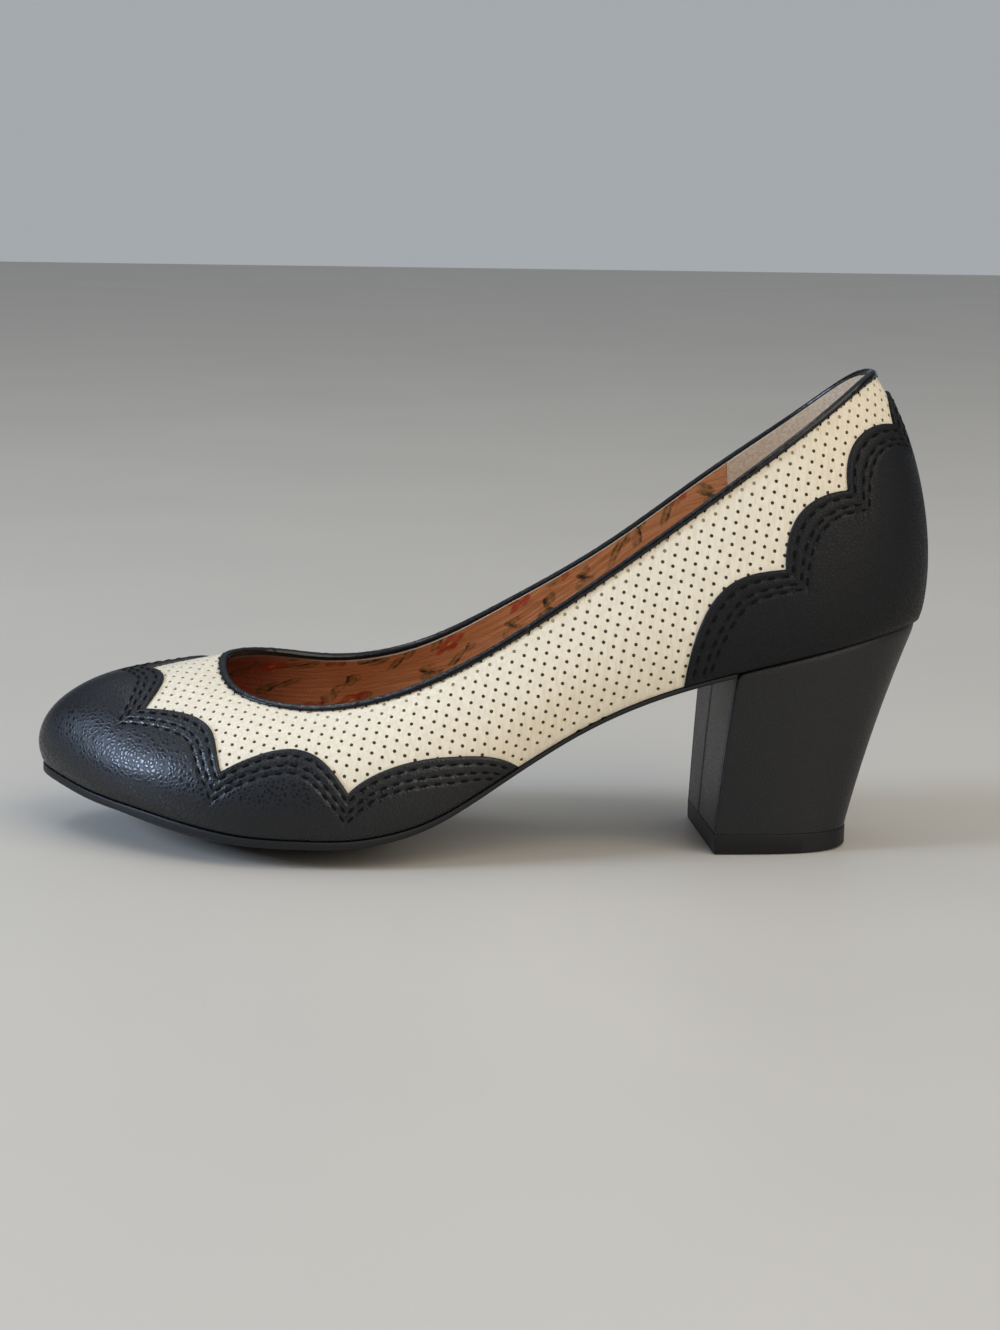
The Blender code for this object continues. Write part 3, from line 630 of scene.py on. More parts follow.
def punchedUpper(size):
    # Cells of a staggered punch pattern on the flat sheet. Each cell is a ring of quads round an eight-sided
    # hole with walls and a floor. Points past the sheet's ends are drawn back onto them.
    stepA, stepB = punchSteps(size)
    corners = flatSheet.reshape(-1, 2)
    origin = corners.mean(0)
    ij = np.linalg.solve(np.stack([stepA, stepB], axis=1), (corners - origin).T)
    i, j = np.meshgrid(*(np.arange(math.floor(k.min()) - 2, math.ceil(k.max()) + 3) for k in ij),
                       indexing="ij")
    i, j = i.ravel(), j.ravel()
    centre = origin + i[:, None] * stepA + j[:, None] * stepB
    found = []
    half = np.arange(sheetRows + 1).reshape(-1, 1) * 2 // sheetRows >= 1
    for side in (0, 1):  # the two quarters may lie over each other when flat, so each is punched by itself
        mine = np.flatnonzero(np.broadcast_to(half == bool(side), flatSheet.shape[:2]))
        distance = ((centre[:, None, :] - corners[None, mine]) ** 2).sum(-1)
        nearest = distance.argmin(1)
        close = distance[np.arange(len(centre)), nearest] < (size["search"] * mm) ** 2
        gu, gw = np.divmod(mine[nearest[close]], sheetCols + 1)
        u, w = unflatten(centre[close], gu / sheetRows * rowCount - halfRound, gw / sheetCols)
        off = np.linalg.norm(centre[close] - flatAt(*onSheet(u, w))[0], axis=1)
        inside = (off < size["overhang"] * mm) & ((u >= 0) == bool(side))
        kept = [part[close][inside] for part in (i, j, centre)]
        found.append((*kept, *onSheet(u[inside], w[inside]), np.full(int(inside.sum()), side)))
    i, j, centre, u, w, side = (np.concatenate(part) for part in zip(*found))

    around = np.array([(-1, -1), (0, -1), (1, -1), (1, 0), (1, 1), (0, 1), (-1, 1), (-1, 0)])
    # in half steps, so that neighbours share their ring
    keys = np.stack([2 * i, 2 * j], axis=1)[:, None] + around
    keys = np.concatenate([keys, np.repeat(side[:, None, None], 8, 1)], axis=2)
    shared, first, ring = np.unique(keys.reshape(-1, 3), axis=0, return_index=True, return_inverse=True)
    ring = ring.reshape(-1, 8)
    owner = first // 8
    outerFlat = origin + shared[:, :1] / 2 * stepA + shared[:, 1:2] / 2 * stepB
    ou, ow = onSheet(*unflatten(outerFlat, u[owner], w[owner]))
    spoke = unit(around[:, :1] * stepA + around[:, 1:] * stepB) * size["holeWidth"] / 2 * mm
    ru, rw = unflatten(centre[:, None] + spoke, np.repeat(u[:, None], 8, 1), np.repeat(w[:, None], 8, 1))
    margin = size["margin"]
    clear = (rw > margin) & (rw < 1 - margin / 2) & (np.abs(ru) < halfRound - size["heelMargin"])
    holed = clear.all(1)
    ru, rw = onSheet(ru, rw)
    outer = wallPoint(ou, upperV(ou, ow))
    rim, floor = (wallAt(ru, upperV(ru, rw), np.array(-size[k] * mm)) for k in ("dish", "holeDepth"))
    middle = wallPoint(u, upperV(u, w))
    points = np.concatenate([outer, rim.reshape(-1, 3), floor.reshape(-1, 3), middle])
    every = np.concatenate([ou, ru.ravel(), ru.ravel(), u])
    # the depth below the topline sets where the painted light in the holes fades
    below = np.linalg.norm(points - wallPoint(every, np.ones_like(every)), axis=1)  # the tape's coordinate
    flat = np.stack([every * 0, below], axis=1)
    rimAt = len(outer) + np.arange(len(u) * 8).reshape(-1, 8)
    floorAt = rimAt + len(u) * 8
    middleAt = len(outer) + len(u) * 16 + np.arange(len(u))
    nextRing, nextRim, nextFloor = np.roll(ring, -1, 1), np.roll(rimAt, -1, 1), np.roll(floorAt, -1, 1)
    band = np.stack([ring, nextRing, nextRim, rimAt], axis=-1)[holed].reshape(-1, 4)
    walls = np.stack([rimAt, nextRim, nextFloor, floorAt], axis=-1)[holed].reshape(-1, 4)
    floors = floorAt[holed]
    plain = np.stack([ring[:, 0::2], ring[:, 1::2], np.repeat(middleAt[:, None], 4, 1),
                      np.roll(ring[:, 1::2], 1, 1)], axis=-1)[~holed].reshape(-1, 4)
    faces = band.tolist() + plain.tolist() + walls.tolist() + floors.tolist()
    slots = np.repeat([0, 0, 1, 2], [len(band), len(plain), len(walls), len(floors)])
    print("punched cells", len(u), "holes", int(holed.sum()))
    return points, faces, slots, flat


def cleanSkin(points, faces, slots, flat):
    # Drops the faces that shrank to nothing at the sheet's ends, and the points that no face uses
    quads = np.array([f[:4] for f in faces])
    diagonals = points[quads[:, 2]] - points[quads[:, 0]], points[quads[:, 3]] - points[quads[:, 1]]
    keep = np.linalg.norm(np.cross(*diagonals), axis=1) / 2 > 1e-9
    faces = [f for f, k in zip(faces, keep) if k]
    used = np.unique(np.concatenate([np.array(f) for f in faces]))
    renumber = np.zeros(len(points), int)
    renumber[used] = np.arange(len(used))
    return points[used], [renumber[f].tolist() for f in faces], slots[keep], flat[used]


points, faces, slots, flat = cleanSkin(*punchedUpper(ivoryUpper))
creamPiece = addPiece("ivory_upper", points, faces, [ivoryCalf, punchedCore, holeFloor], slots, flat,
                      sharp=50, weld=0.01 * mm)
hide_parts("upper")
print("ivory upper ready")


# Black scalloped pieces with three rows of stitches

def evenly(line, gap):  # the same (u, v) line with points a gap apart on the leather
    run = runAlong(wallPoint(line[:, 0], line[:, 1]))
    at = np.linspace(0, run[-1], max(int(round(run[-1] / gap)), 2) + 1)
    return np.stack([np.interp(at, run, line[:, 0]), np.interp(at, run, line[:, 1])], axis=1)


def lobeLines(table, gap):  # one (u, v) line for each scallop, a Bezier from valley to valley
    w = np.linspace(0, 1, 80)[:, None]
    arcs = [[np.array(p) for p in (a[0:2], a[2:4], a[4:6], b[0:2])] for a, b in zip(table[:-1], table[1:])]
    return [evenly(cubic(*arc, w), gap) for arc in arcs]


# Stitch rows: gap between points, steps of the move, run past the valleys, share of the inset kept near a
# valley, share of the scallop that keeps all of it, gap between points of a thread, lowest v
rowMove = dict(gap=0.5, steps=8, runPast=3.0, nearValley=0.74, flatPart=0.15, threadGap=0.4, foot=0.03)


def insetLine(line, inset):
    # The scallop, run on straight past both valleys, is moved into the leather in short steps square to it
    gap, steps, near = rowMove["gap"] * mm, rowMove["steps"], rowMove["nearValley"]
    u, v = line[:, 0], line[:, 1]
    point = wallPoint(u, v)
    t = unit(np.gradient(point, axis=0))
    reach = np.arange(1, int((2.0 * inset + rowMove["runPast"] * mm) / gap))[:, None] * gap
    target = np.concatenate([(point[0] - t[1] * reach)[::-1], point, point[-1] + t[-2] * reach])
    pad = len(reach)
    line = np.stack(landOn(np.pad(u, pad, mode="edge"), np.pad(v, pad, mode="edge"), target, 8), axis=1)
    start = pad / len(line)
    crown = rowMove["flatPart"] * (0.5 - start)
    for _ in range(steps):
        line = evenly(line, gap)
        point, normal, _ = wallFrame(line[:, 0], line[:, 1])
        t = unit(np.gradient(point, axis=0))
        place = np.linspace(0, 1, len(line))
        share = np.interp(place, [start, 0.5 - crown, 0.5 + crown, 1 - start], [near, 1, 1, near])
        moved = point + np.cross(t, normal) * (share * inset / steps)[:, None]
        line = np.stack(landOn(line[:, 0], line[:, 1], moved, 3), axis=1)
        line[1:-1] = (line[:-2] + 2 * line[1:-1] + line[2:]) / 4
    return line


def crossing(a, b):  # where two (u, v) lines cross near a's end and b's start: both segments and the point
    p, r, q, s = a[:-1, None], np.diff(a, axis=0)[:, None], b[None, :-1], np.diff(b, axis=0)[None]
    det = crossOf(r, s)
    det = np.where(np.abs(det) < 1e-15, 1e-15, det)
    x, y = crossOf(q - p, s) / det, crossOf(q - p, r) / det
    hits = np.argwhere((x >= 0) & (x <= 1) & (y >= 0) & (y <= 1))
    if not len(hits):
        return None
    i, j = hits[np.argmin(np.abs(hits[:, 0] - len(a) * 0.85) + np.abs(hits[:, 1] - len(b) * 0.15))]
    return i, j, a[i] + (a[i + 1] - a[i]) * x[i, j]


def stitchRow(lobes, inset):  # the inset scallops, cut where neighbours meet and where they reach the sole
    lines = [insetLine(line, inset) for line in lobes]
    for k in range(len(lines) - 1):
        hit = crossing(lines[k], lines[k + 1])
        if hit:
            i, j, at = hit
            lines[k], lines[k + 1] = np.vstack([lines[k][:i + 1], at]), np.vstack([at, lines[k + 1][j + 1:]])
    return [evenly(line[line[:, 1] > rowMove["foot"]], rowMove["threadGap"] * mm) for line in lines]


def capsules(centre, normal, width, height):
    # Short round threads: an ellipse, width along the side and height along the normal, on each centre line
    along = unit(np.gradient(centre, axis=1))
    side = unit(np.cross(normal, along))
    swell = np.sqrt(np.clip(1 - np.linspace(-1, 1, centre.shape[1]) ** 4, 0, 1))[None, :, None, None]
    turn = np.linspace(0, 2 * math.pi, 6, endpoint=False)[:, None]
    ring = side[:, :, None] * np.cos(turn) * width / 2 + normal[:, :, None] * np.sin(turn) * height / 2
    points = centre[:, :, None] + ring * swell
    index = np.arange(points[..., 0].size).reshape(points.shape[:3])
    faces = np.concatenate([gridFaces(one, False, True) for one in index])
    return points.reshape(-1, 3), faces


def stitchPlaces(rows, pitch):  # (u, v) of seven points along each stitch and of every needle hole
    threads, holes = [], []
    for line in rows:
        run = runAlong(wallPoint(line[:, 0], line[:, 1]))
        ends = np.linspace(0, run[-1], max(int(round(run[-1] / pitch)), 1) + 1)
        at = ends[:-1, None] + (ends[1:] - ends[:-1])[:, None] * np.linspace(0.17, 0.83, 7)
        for places, kept in ((at, threads), (ends, holes)):
            kept.append(np.stack([np.interp(places, run, line[:, k]) for k in (0, 1)], axis=-1))
    return np.concatenate(threads), np.concatenate(holes)


def needleHoles(places, width, height, deep):
    # Shallow eight-sided cups, their rims just proud of the leather
    p, n, climb = wallFrame(places[:, 0], places[:, 1])
    side = np.cross(n, climb)
    turn = np.linspace(0, 2 * math.pi, 8, endpoint=False)[:, None]
    spoke = (side[:, None] * np.cos(turn) + climb[:, None] * np.sin(turn)) * width / 2
    rim = (p + n * height[:, None])[:, None] + spoke
    floor = (p + n * (height - deep)[:, None])[:, None]
    points = np.concatenate([rim, floor], axis=1)
    base = np.arange(len(points))[:, None] * 9
    k = np.arange(8)
    faces = np.stack([base + k, base + (k + 1) % 8, base + 8 + 0 * k], axis=-1).reshape(-1, 3)
    return points.reshape(-1, 3), faces


def nearestGap(points, cloud):
    # Distance from each point to the nearest of a cloud, in millimetres, in blocks
    cloud = cloud.astype(np.float32)
    flat = points.reshape(-1, 3).astype(np.float32)
    blocks = np.array_split(flat, max(len(flat) // 1500, 1))
    gaps = [np.sqrt(np.min(((block[:, None] - cloud) ** 2).sum(-1), axis=1)) for block in blocks]
    return np.concatenate(gaps).reshape(points.shape[:-1]) / mm


def bell(x, width):  # one in the middle, falling off over the width
    return np.exp(-(x / width) ** 2)


def blackPiece(size):
    # Columns of constant u from the sole to the scalloped rim. Height over the wall is a rounded fold near
    # the rim, less a bell-shaped groove along each stitch row and a pit at each hole; it thins to the sole.
    lobes = lobeLines(size["lobes"], size["gap"] * mm)
    rim = np.concatenate([lobes[0]] + [line[1:] for line in lobes[1:]])
    rows = [line for inset in size["rows"] for line in stitchRow(lobes, inset * mm)]
    rimCloud = wallPoint(rim[:, 0], rim[:, 1])
    rowCloud = np.concatenate([wallPoint(line[:, 0], line[:, 1]) for line in rows])
    threads, holes = stitchPlaces(rows, size["pitch"] * mm)
    holeCloud = wallPoint(holes[:, 0], holes[:, 1])

    def heightOver(v, face):
        groove = size["groove"] * bell(nearestGap(face, rowCloud), size["grooveWidth"])
        sunk = groove + size["pit"] * bell(nearestGap(face, holeCloud), size["pitWidth"])
        edge = np.clip(nearestGap(face, rimCloud) / size["edgeRound"], 0, 1)
        rise = size["edgeLow"] + (size["height"] - size["edgeLow"]) * np.sqrt(1 - (1 - edge) ** 2)
        toSole = np.clip(v / size["footRise"], 0, 1)
        thin = size["footHeight"] + (1 - size["footHeight"]) * toSole * (2 - toSole)
        return (rise - sunk) * thin * mm

    probe = np.linspace(0, 1, 24)
    column = wallPoint(np.repeat(rim[:, :1], len(probe), 1), rim[:, 1:] * probe)
    tall = np.linalg.norm(np.diff(column, axis=1), axis=-1).sum(1)[:, None]
    fine = np.minimum(size["fineZone"] * mm, 0.7 * tall)  # close steps under the rim, wider ones below
    nearRim = fine * np.linspace(0, 1, size["fineSteps"])
    lower = fine + (tall - fine) * np.linspace(0, 1, size["coarseSteps"] + 1)[1:]
    steps = np.concatenate([nearRim, lower], axis=1)[:, ::-1]
    v = rim[:, 1:] * (1 - steps / tall)
    face, normal, _ = wallFrame(np.repeat(rim[:, :1], v.shape[1], 1), v)
    backAt = np.linspace(v.shape[1] - 1, 0, size["backRows"]).astype(int)
    under = (face - normal * size["back"] * mm)[:, backAt]
    # the lasting margin turns in above the sole and the heel seat
    inside = soleEdge(rim[:, 0], -size["margin"] * mm)
    levels = (size["marginThick"], 0.0)
    turned = np.stack([lifted(inside, lastBottom(inside) + z * mm) for z in levels], axis=1)
    loop = np.concatenate([face + normal * heightOver(v, face)[..., None], under, turned], axis=1)
    piece = addPiece(size["name"], loop, ringBar(loop, False), [size["hide"]], sharp=70, outward=True)
    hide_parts(size["node"])

    face, normal, _ = wallFrame(threads[..., 0], threads[..., 1])
    dip = np.array(size["dip"]) * mm  # both ends sink into their holes
    centre = face + normal * (heightOver(threads[..., 1], face) + dip)[..., None]
    points, faces = capsules(centre, normal, size["thread"] * mm, size["thread"] * 0.85 * mm)
    addPiece(size["name"] + "_stitches", points, faces, [waxedThread], outward=True)
    height = heightOver(holes[:, 1], wallPoint(holes[:, 0], holes[:, 1])) + size["proud"] * mm
    points, faces = needleHoles(holes, size["needle"] * mm, height, size["cup"] * mm)
    # painted shade: the cups are near black for the shadow inside the needle holes
    addPiece(size["name"] + "_needle_holes", points, faces, [needleHoleShade])
    print(size["name"], "columns", len(rim), "stitches", len(centre))


toeCap = dict(name="toe_cap_calf", node="toe_cap", hide=blackCalf, lobes=capLobes, gap=0.4, fineZone=10.0,
              fineSteps=38, coarseSteps=22, back=0.25, backRows=14, rows=(2.0, 4.6, 6.6), pitch=3.4,
              thread=0.7, needle=1.4, cup=0.3, proud=0.1, dip=(-0.2, 0.0, 0.07, 0.09, 0.07, 0.0, -0.2),
              height=0.95, edgeLow=0.25, edgeRound=0.8, groove=0.2, grooveWidth=0.56, pit=0.12, pitWidth=0.7,
              footRise=0.16, footHeight=0.45, margin=5.0, marginThick=0.3)
heelCounter = dict(toeCap, name="heel_counter_calf", node="heel_counter", hide=counterCalf,
                   lobes=counterLobes, rows=(2.4, 5.4, 7.4), pitch=3.9, groove=0.24, pit=0.14, footRise=0.05,
                   footHeight=0.75)
blackPiece(toeCap)
blackPiece(heelCounter)


# Binding: a folded strip round the topline, drawn into small gathers

binding = dict(columns=900, leg=1.5, core=(-0.3, -0.3), gather=0.026, throatGather=0.02, throatSpan=2.6,
               cycles=(61, 83, 109, 137, 163, 191, 229), nubPitch=2.9, nubLong=0.95, nubWide=0.48, nubUp=0.4,
               nubBow=1.2)


def toplineRun(count):  # u values equally spaced along the topline, with the run in metres
    u = np.linspace(0, rowCount, 4001)
    run = runAlong(wallPoint(u, np.ones_like(u)))
    at = np.linspace(0, run[-1], count, endpoint=False)
    return np.interp(at, run, u), at, run[-1]


def boundTopline(size):
    # The section is a folded strip in the wall's normal (out) and climb (up); each point swells by a sum of
    # sines of the run, and the stitches are short capsules along the strip's lower edge
    u, at, total = toplineRun(size["columns"])
    p, n, c = wallFrame(u, np.ones_like(u))
    leg = -size["leg"]
    # out, up and share of the gathers
    fold = np.array([(0.1, leg + 0.1, 0), (0.4, leg - 0.05, 0.5), (0.66, leg + 0.25, 1), (0.8, leg + 0.8, 1),
                     (0.82, -0.2, 1), (0.72, 0.25, 1), (0.42, 0.58, 0.9), (-0.05, 0.74, 0.7),
                     (-0.45, 0.76, 0.6), (-0.85, 0.66, 0.6), (-1.12, 0.4, 0.6), (-1.26, 0.1, 0.6),
                     (-1.32, -0.25, 0.5), (-1.3, -0.6, 0.4), (-1.22, -0.9, 0.2), (-1.0, -1.15, 0),
                     (-0.7, -1.0, 0), (-0.4, -0.5, 0)])
    section, swell = fold[:, :2] * mm, fold[:, 2]
    waves = 0.0
    for cycles in size["cycles"]:
        run = 2 * math.pi * cycles * at[:, None] / total
        start, lean = dice.uniform(0, 6.3), 1.3 * dice.uniform(-1, 1)
        waves = waves + np.sin(run + start + lean * np.arange(len(section)) / 4) / 2.6
    toThroat = np.minimum(u, rowCount - u)[:, None]
    depth = (size["gather"] + size["throatGather"] * bell(toThroat, size["throatSpan"])) * mm
    outwards = unit(section - np.array(size["core"]) * mm)
    moved = section + outwards * (waves * depth * swell)[..., None]
    rings = p[:, None] + n[:, None] * moved[..., :1] + c[:, None] * moved[..., 1:]
    piece = addPiece("topline_binding_strip", rings, ringBar(rings, True), [bindingNappa], outward=True)
    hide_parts("topline_binding")
    count = int(round(total / (size["nubPitch"] * mm)))
    u, at, total = toplineRun(count)
    p, n, c = wallFrame(u, np.ones_like(u))
    slide = np.linspace(-0.5, 0.5, 7)
    long = size["nubLong"] * dice.uniform(0.3, 1.15, (count, 1))
    reach = (leg - 0.05 + slide * long) * mm
    rise = (size["nubUp"] - size["nubBow"] * slide ** 2) * mm
    centre = p[:, None] + n[:, None] * rise[None, :, None] + c[:, None] * reach[..., None]
    points, faces = capsules(centre, np.repeat(n[:, None], 7, 1), size["nubWide"] * mm, size["nubWide"] * mm)
    addPiece("binding_stitches", points, faces, [waxedThread], outward=True)


boundTopline(binding)
print("binding ready")


# Lining with its cut edge, heel grip and sock

# depth is how far its edge stays below the topline, as (u, mm)
lining = dict(depth=[(0, 0.2), (5, 0.6), (7, 0.4), (13, 0.3), (15, 0.2), (20, 0.2)], foot=0.02, face=-1.75,
              back=-1.25, columns=420, rows=48)
# creases on the lining in (u, v): start, end, depth and half width in millimetres
liningCreases = [(13.4, 0.93, 15.6, 0.80, 0.35, 0.7), (13.7, 0.86, 15.9, 0.72, 0.30, 0.6),
                 (14.0, 0.95, 15.2, 0.88, 0.25, 0.5), (14.2, 0.78, 16.2, 0.62, 0.30, 0.8),
                 (13.1, 0.80, 14.6, 0.70, 0.22, 0.6), (15.0, 0.90, 16.4, 0.80, 0.25, 0.6),
                 (4.2, 0.84, 6.2, 0.90, 0.28, 0.7), (4.6, 0.70, 6.6, 0.80, 0.25, 0.7),
                 (16.2, 0.74, 17.6, 0.62, 0.2, 0.8)]
wallTall = 55  # mm from sole to topline, about the same all round


def creaseDepth(u, v, creases):
    # Sum of bell-shaped troughs with a low lip, across (u, v) strokes faded at both ends
    depth = np.zeros(np.broadcast(u, v).shape)
    for u0, v0, u1, v1, deep, wide in creases:
        share = np.clip((u - u0) / (u1 - u0), 0, 1)
        across = (v - (v0 + (v1 - v0) * share) - 0.012 * np.sin(7 * share)) * wallTall
        fade = np.sin(math.pi * share) ** 0.7 * ((u >= u0) & (u <= u1))
        depth = depth + deep * fade * (bell(across, wide) - 0.35 * bell(across - 1.9 * wide, wide))
    return depth


def topV(u, below):  # v that lies a given depth in millimetres below the topline
    climb = wallSlopes(u, np.full_like(u, 0.97))[2]
    return 1 - below * mm / np.linalg.norm(climb, axis=-1)


def sheetRuns(u, v):
    # Flat place of the sheet: run along two thirds of its height, run up each column, in metres
    p = wallPoint(u, v)
    climbs = np.cumsum(np.linalg.norm(np.diff(p, axis=1), axis=-1), axis=1)
    up = np.concatenate([np.zeros((len(u), 1)), climbs], axis=1)
    along = runAlong(p[:, p.shape[1] * 2 // 3])
    return np.stack([np.repeat(along[:, None], u.shape[1], 1), up], axis=-1)


def innerSheet(name, u, v, face, back, materials, closed):
    # A sheet inside the wall: its face, its back and the edges between, the cut ones in the second material
    u = np.repeat(u, v.shape[1], 1)
    loop = np.concatenate([wallAt(u, v, face * mm), wallAt(u, v, np.asarray(back * mm))[:, ::-1]], axis=1)
    flat = sheetRuns(u, v)
    faces = ringBar(loop, closed)
    slots = np.zeros(len(faces), int)
    sides = np.arange(len(faces) if closed else len(faces) - 2)
    slots[sides[sides % loop.shape[1] == v.shape[1] - 1]] = 1
    if not closed:
        slots[-2:] = 1
    uv = np.concatenate([flat, flat[:, ::-1]], axis=1)
    piece = addPiece(name, loop, faces, materials, slots, uv, sharp=60, outward=True)


u = np.linspace(0, rowCount, lining["columns"], endpoint=False)[:, None]
high = topV(u, np.interp(u, *zip(*lining["depth"])))
v = lining["foot"] + (high - lining["foot"]) * np.linspace(0, 1, lining["rows"])
innerSheet("lining_calf", u, v, lining["face"] + creaseDepth(u, v, liningCreases), lining["back"],
           [liningCalf, rawEdge], True)

# corner is the run in u over which the ends round off, cut the share of the height that they lose
grip = dict(first=7.25, last=12.74, low=0.32, depth=0.3, face=-2.35, back=-1.8, columns=150, rows=40,
            corner=0.5, cornerTop=0.12, cut=0.6, nap=0.02)
u = np.linspace(grip["first"], grip["last"], grip["columns"])[:, None]
toEnd = np.clip(np.minimum(u - grip["first"], grip["last"] - u) / grip["corner"], 0, 1)
high = topV(u, grip["depth"])
rounded = (1 - np.sqrt(1 - (1 - toEnd) ** 2)) * grip["cut"]
low = grip["low"] + (high - grip["cornerTop"] - grip["low"]) * rounded
v = low + (high - low) * np.linspace(0, 1, grip["rows"])
fuzz = dice.normal(0, grip["nap"], v.shape)
innerSheet("heel_grip_suede", u, v, grip["face"] + fuzz, grip["back"], [gripSuede, rawEdge], False)

sock = dict(inset=1.9, low=1.5, high=3.95, rise=1.2, rimSharp=14, firstU=0.03, rows=150, across=41)


def sockSheet(size):
    # Rungs from the outer to the inner side on the last's bottom; the rim turns up a little at the lining
    row = np.linspace(size["firstU"], halfRound - size["firstU"], size["rows"])
    cross = np.linspace(0, 1, size["across"])[:, None]
    inset = -size["inset"] * mm
    plan = soleEdge(row, inset)[:, None] * (1 - cross) + soleEdge(rowCount - row, inset)[:, None] * cross
    ground = lastBottom(plan)
    rim = np.abs(2 * cross[:, 0] - 1) ** size["rimSharp"] * size["rise"]
    top, base = lifted(plan, ground + (size["high"] + rim) * mm), lifted(plan, ground + size["low"] * mm)
    loop = np.concatenate([top, base[:, ::-1]], axis=1)
    middle = plan[:, size["across"] // 2, :1]
    flat = np.stack([np.repeat(middle, size["across"], 1), plan[..., 1]], axis=-1)
    uv = np.concatenate([flat, flat[:, ::-1]], axis=1)
    piece = addPiece("insole_sock", loop, ringBar(loop, False), [liningCalf], uv=uv, sharp=60, outward=True)
    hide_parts("insole")


sockSheet(sock)
print("lining, grip and sock ready")


# Outsole, covered heel and top lift

# thinning is the share of the length over which it skives down to the waist
outsole = dict(ledge=0.75, thick=2.1, waistThick=1.1, thinning=(0.6, 0.85), gap=0.25, bulge=0.25, rows=220,
               across=33, firstRow=0.015, outerEnd=7.0, innerEnd=13.09)


def outsolePlate(size):
    # Rungs across the last's bottom; the edge is half an ellipse between the top and the tread
    row = np.linspace(size["firstRow"], 1, size["rows"])
    outerU, innerU = row * size["outerEnd"], rowCount - row * (rowCount - size["innerEnd"])
    cross = (1 - np.cos(np.linspace(0, math.pi, size["across"])))[:, None] / 2
    ledge = size["ledge"] * mm
    plan = soleEdge(outerU, ledge)[:, None] * (1 - cross) + soleEdge(innerU, ledge)[:, None] * cross
    ground = lastBottom(plan) - size["gap"] * mm
    thick = np.interp(row, size["thinning"], [size["thick"], size["waistThick"]])[:, None]
    tread = np.maximum(ground - thick * mm, 0)
    turn = np.linspace(0, math.pi, 7)[1:-1]
    middle, half = (ground + tread) / 2, (ground - tread) / 2

    def edge(k, sides):  # points of the rounded edge beside rung end k
        aside = unit(plan[:, k] - plan[:, size["across"] // 2])[:, None]
        out = aside * (np.sin(turn) * size["bulge"] * mm)[:, None]
        z = middle[:, k][:, None] + half[:, k][:, None] * np.cos(turn) * sides
        return lifted(plan[:, k][:, None] + out, z)

    top, base = lifted(plan, ground), lifted(plan, tread)
    loop = np.concatenate([top, edge(-1, 1), base[:, ::-1], edge(0, -1)], axis=1)
    piece = addPiece("outsole_plate", loop, ringBar(loop, False), [solePolymer], sharp=60, outward=True)
    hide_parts("outsole")


outsolePlate(outsole)

# seam is its place across the breast; the cover laps it by lap, and a fold runs beside each front edge
heelBlock = dict(inset=0.5, tuck=1.3, tuckFade=60, forward=0.6, drop=0.5, hollow=0.25, levels=60,
                 crowding=1.5, back=110, breast=61, corner=1.2, seam=0.6, seamDepth=0.3, seamWidth=0.45,
                 lap=0.12, lapWidth=0.15, fold=2.4, foldDepth=0.22, foldWidth=0.4, gap=0.15)
# rims gives height and spread of each loop of the lift, from the floor up
topLift = dict(front=61.4, length=37.9, halfWidth=22.2, rounding=0.62, skew=0.037, height=5.2, back=110,
               breast=41, corner=0.8,
               rims=[(0.0, -0.35), (0.25, -0.08), (0.6, 0.2), (4.4, 0.2), (5.0, 0.2), (5.2, 0.0)])


def liftOutline(count, spread):  # a rounded curve: powers of sine and cosine, its front edge slanted across
    turn = np.linspace(0, math.pi, count)
    back = np.abs(np.sin(turn)) ** topLift["rounding"] * (topLift["length"] + spread)
    across = np.sign(np.cos(turn)) * np.abs(np.cos(turn)) ** topLift["rounding"]
    side = across * (topLift["halfWidth"] + spread)
    return np.stack([topLift["front"] + topLift["skew"] * side + back, -side], axis=-1) * mm


def roundedLoops(back, breastCount, corner, relief):
    # Closed loops: the curve round the back, a straight breast, a small quadratic corner at both front edges
    first, last = back[:, 0], back[:, -1]
    across = unit(first - last)
    intoFirst, intoLast = unit(back[:, 2] - first), unit(back[:, -3] - last)
    w = np.linspace(0, 1, 7)[None, :, None]

    def turnAt(point, arrive, leave):
        start, end = (point + arrive * corner)[:, None], (point + leave * corner)[:, None]
        return start * (1 - w) ** 2 + point[:, None] * 2 * w * (1 - w) + end * w ** 2

    q = np.linspace(0, 1, breastCount + 2)[1:-1]
    start, end = last + across * corner, first - across * corner
    breast = start[:, None] * (1 - q)[None, :, None] + end[:, None] * q[None, :, None]
    width = np.linalg.norm(first - last, axis=-1)[:, None]
    inwards = np.stack([-across[:, 1], across[:, 0], 0 * across[:, 0]], axis=-1)
    inwards = unit(inwards * np.sign(inwards[:, :1]))  # towards the back of the heel
    breast = breast + inwards[:, None] * relief(q[None, :], width)[..., None]
    return np.concatenate([back[:, 3:-3], turnAt(last, intoLast, across), breast,
                           turnAt(first, -across, intoFirst)], axis=1)


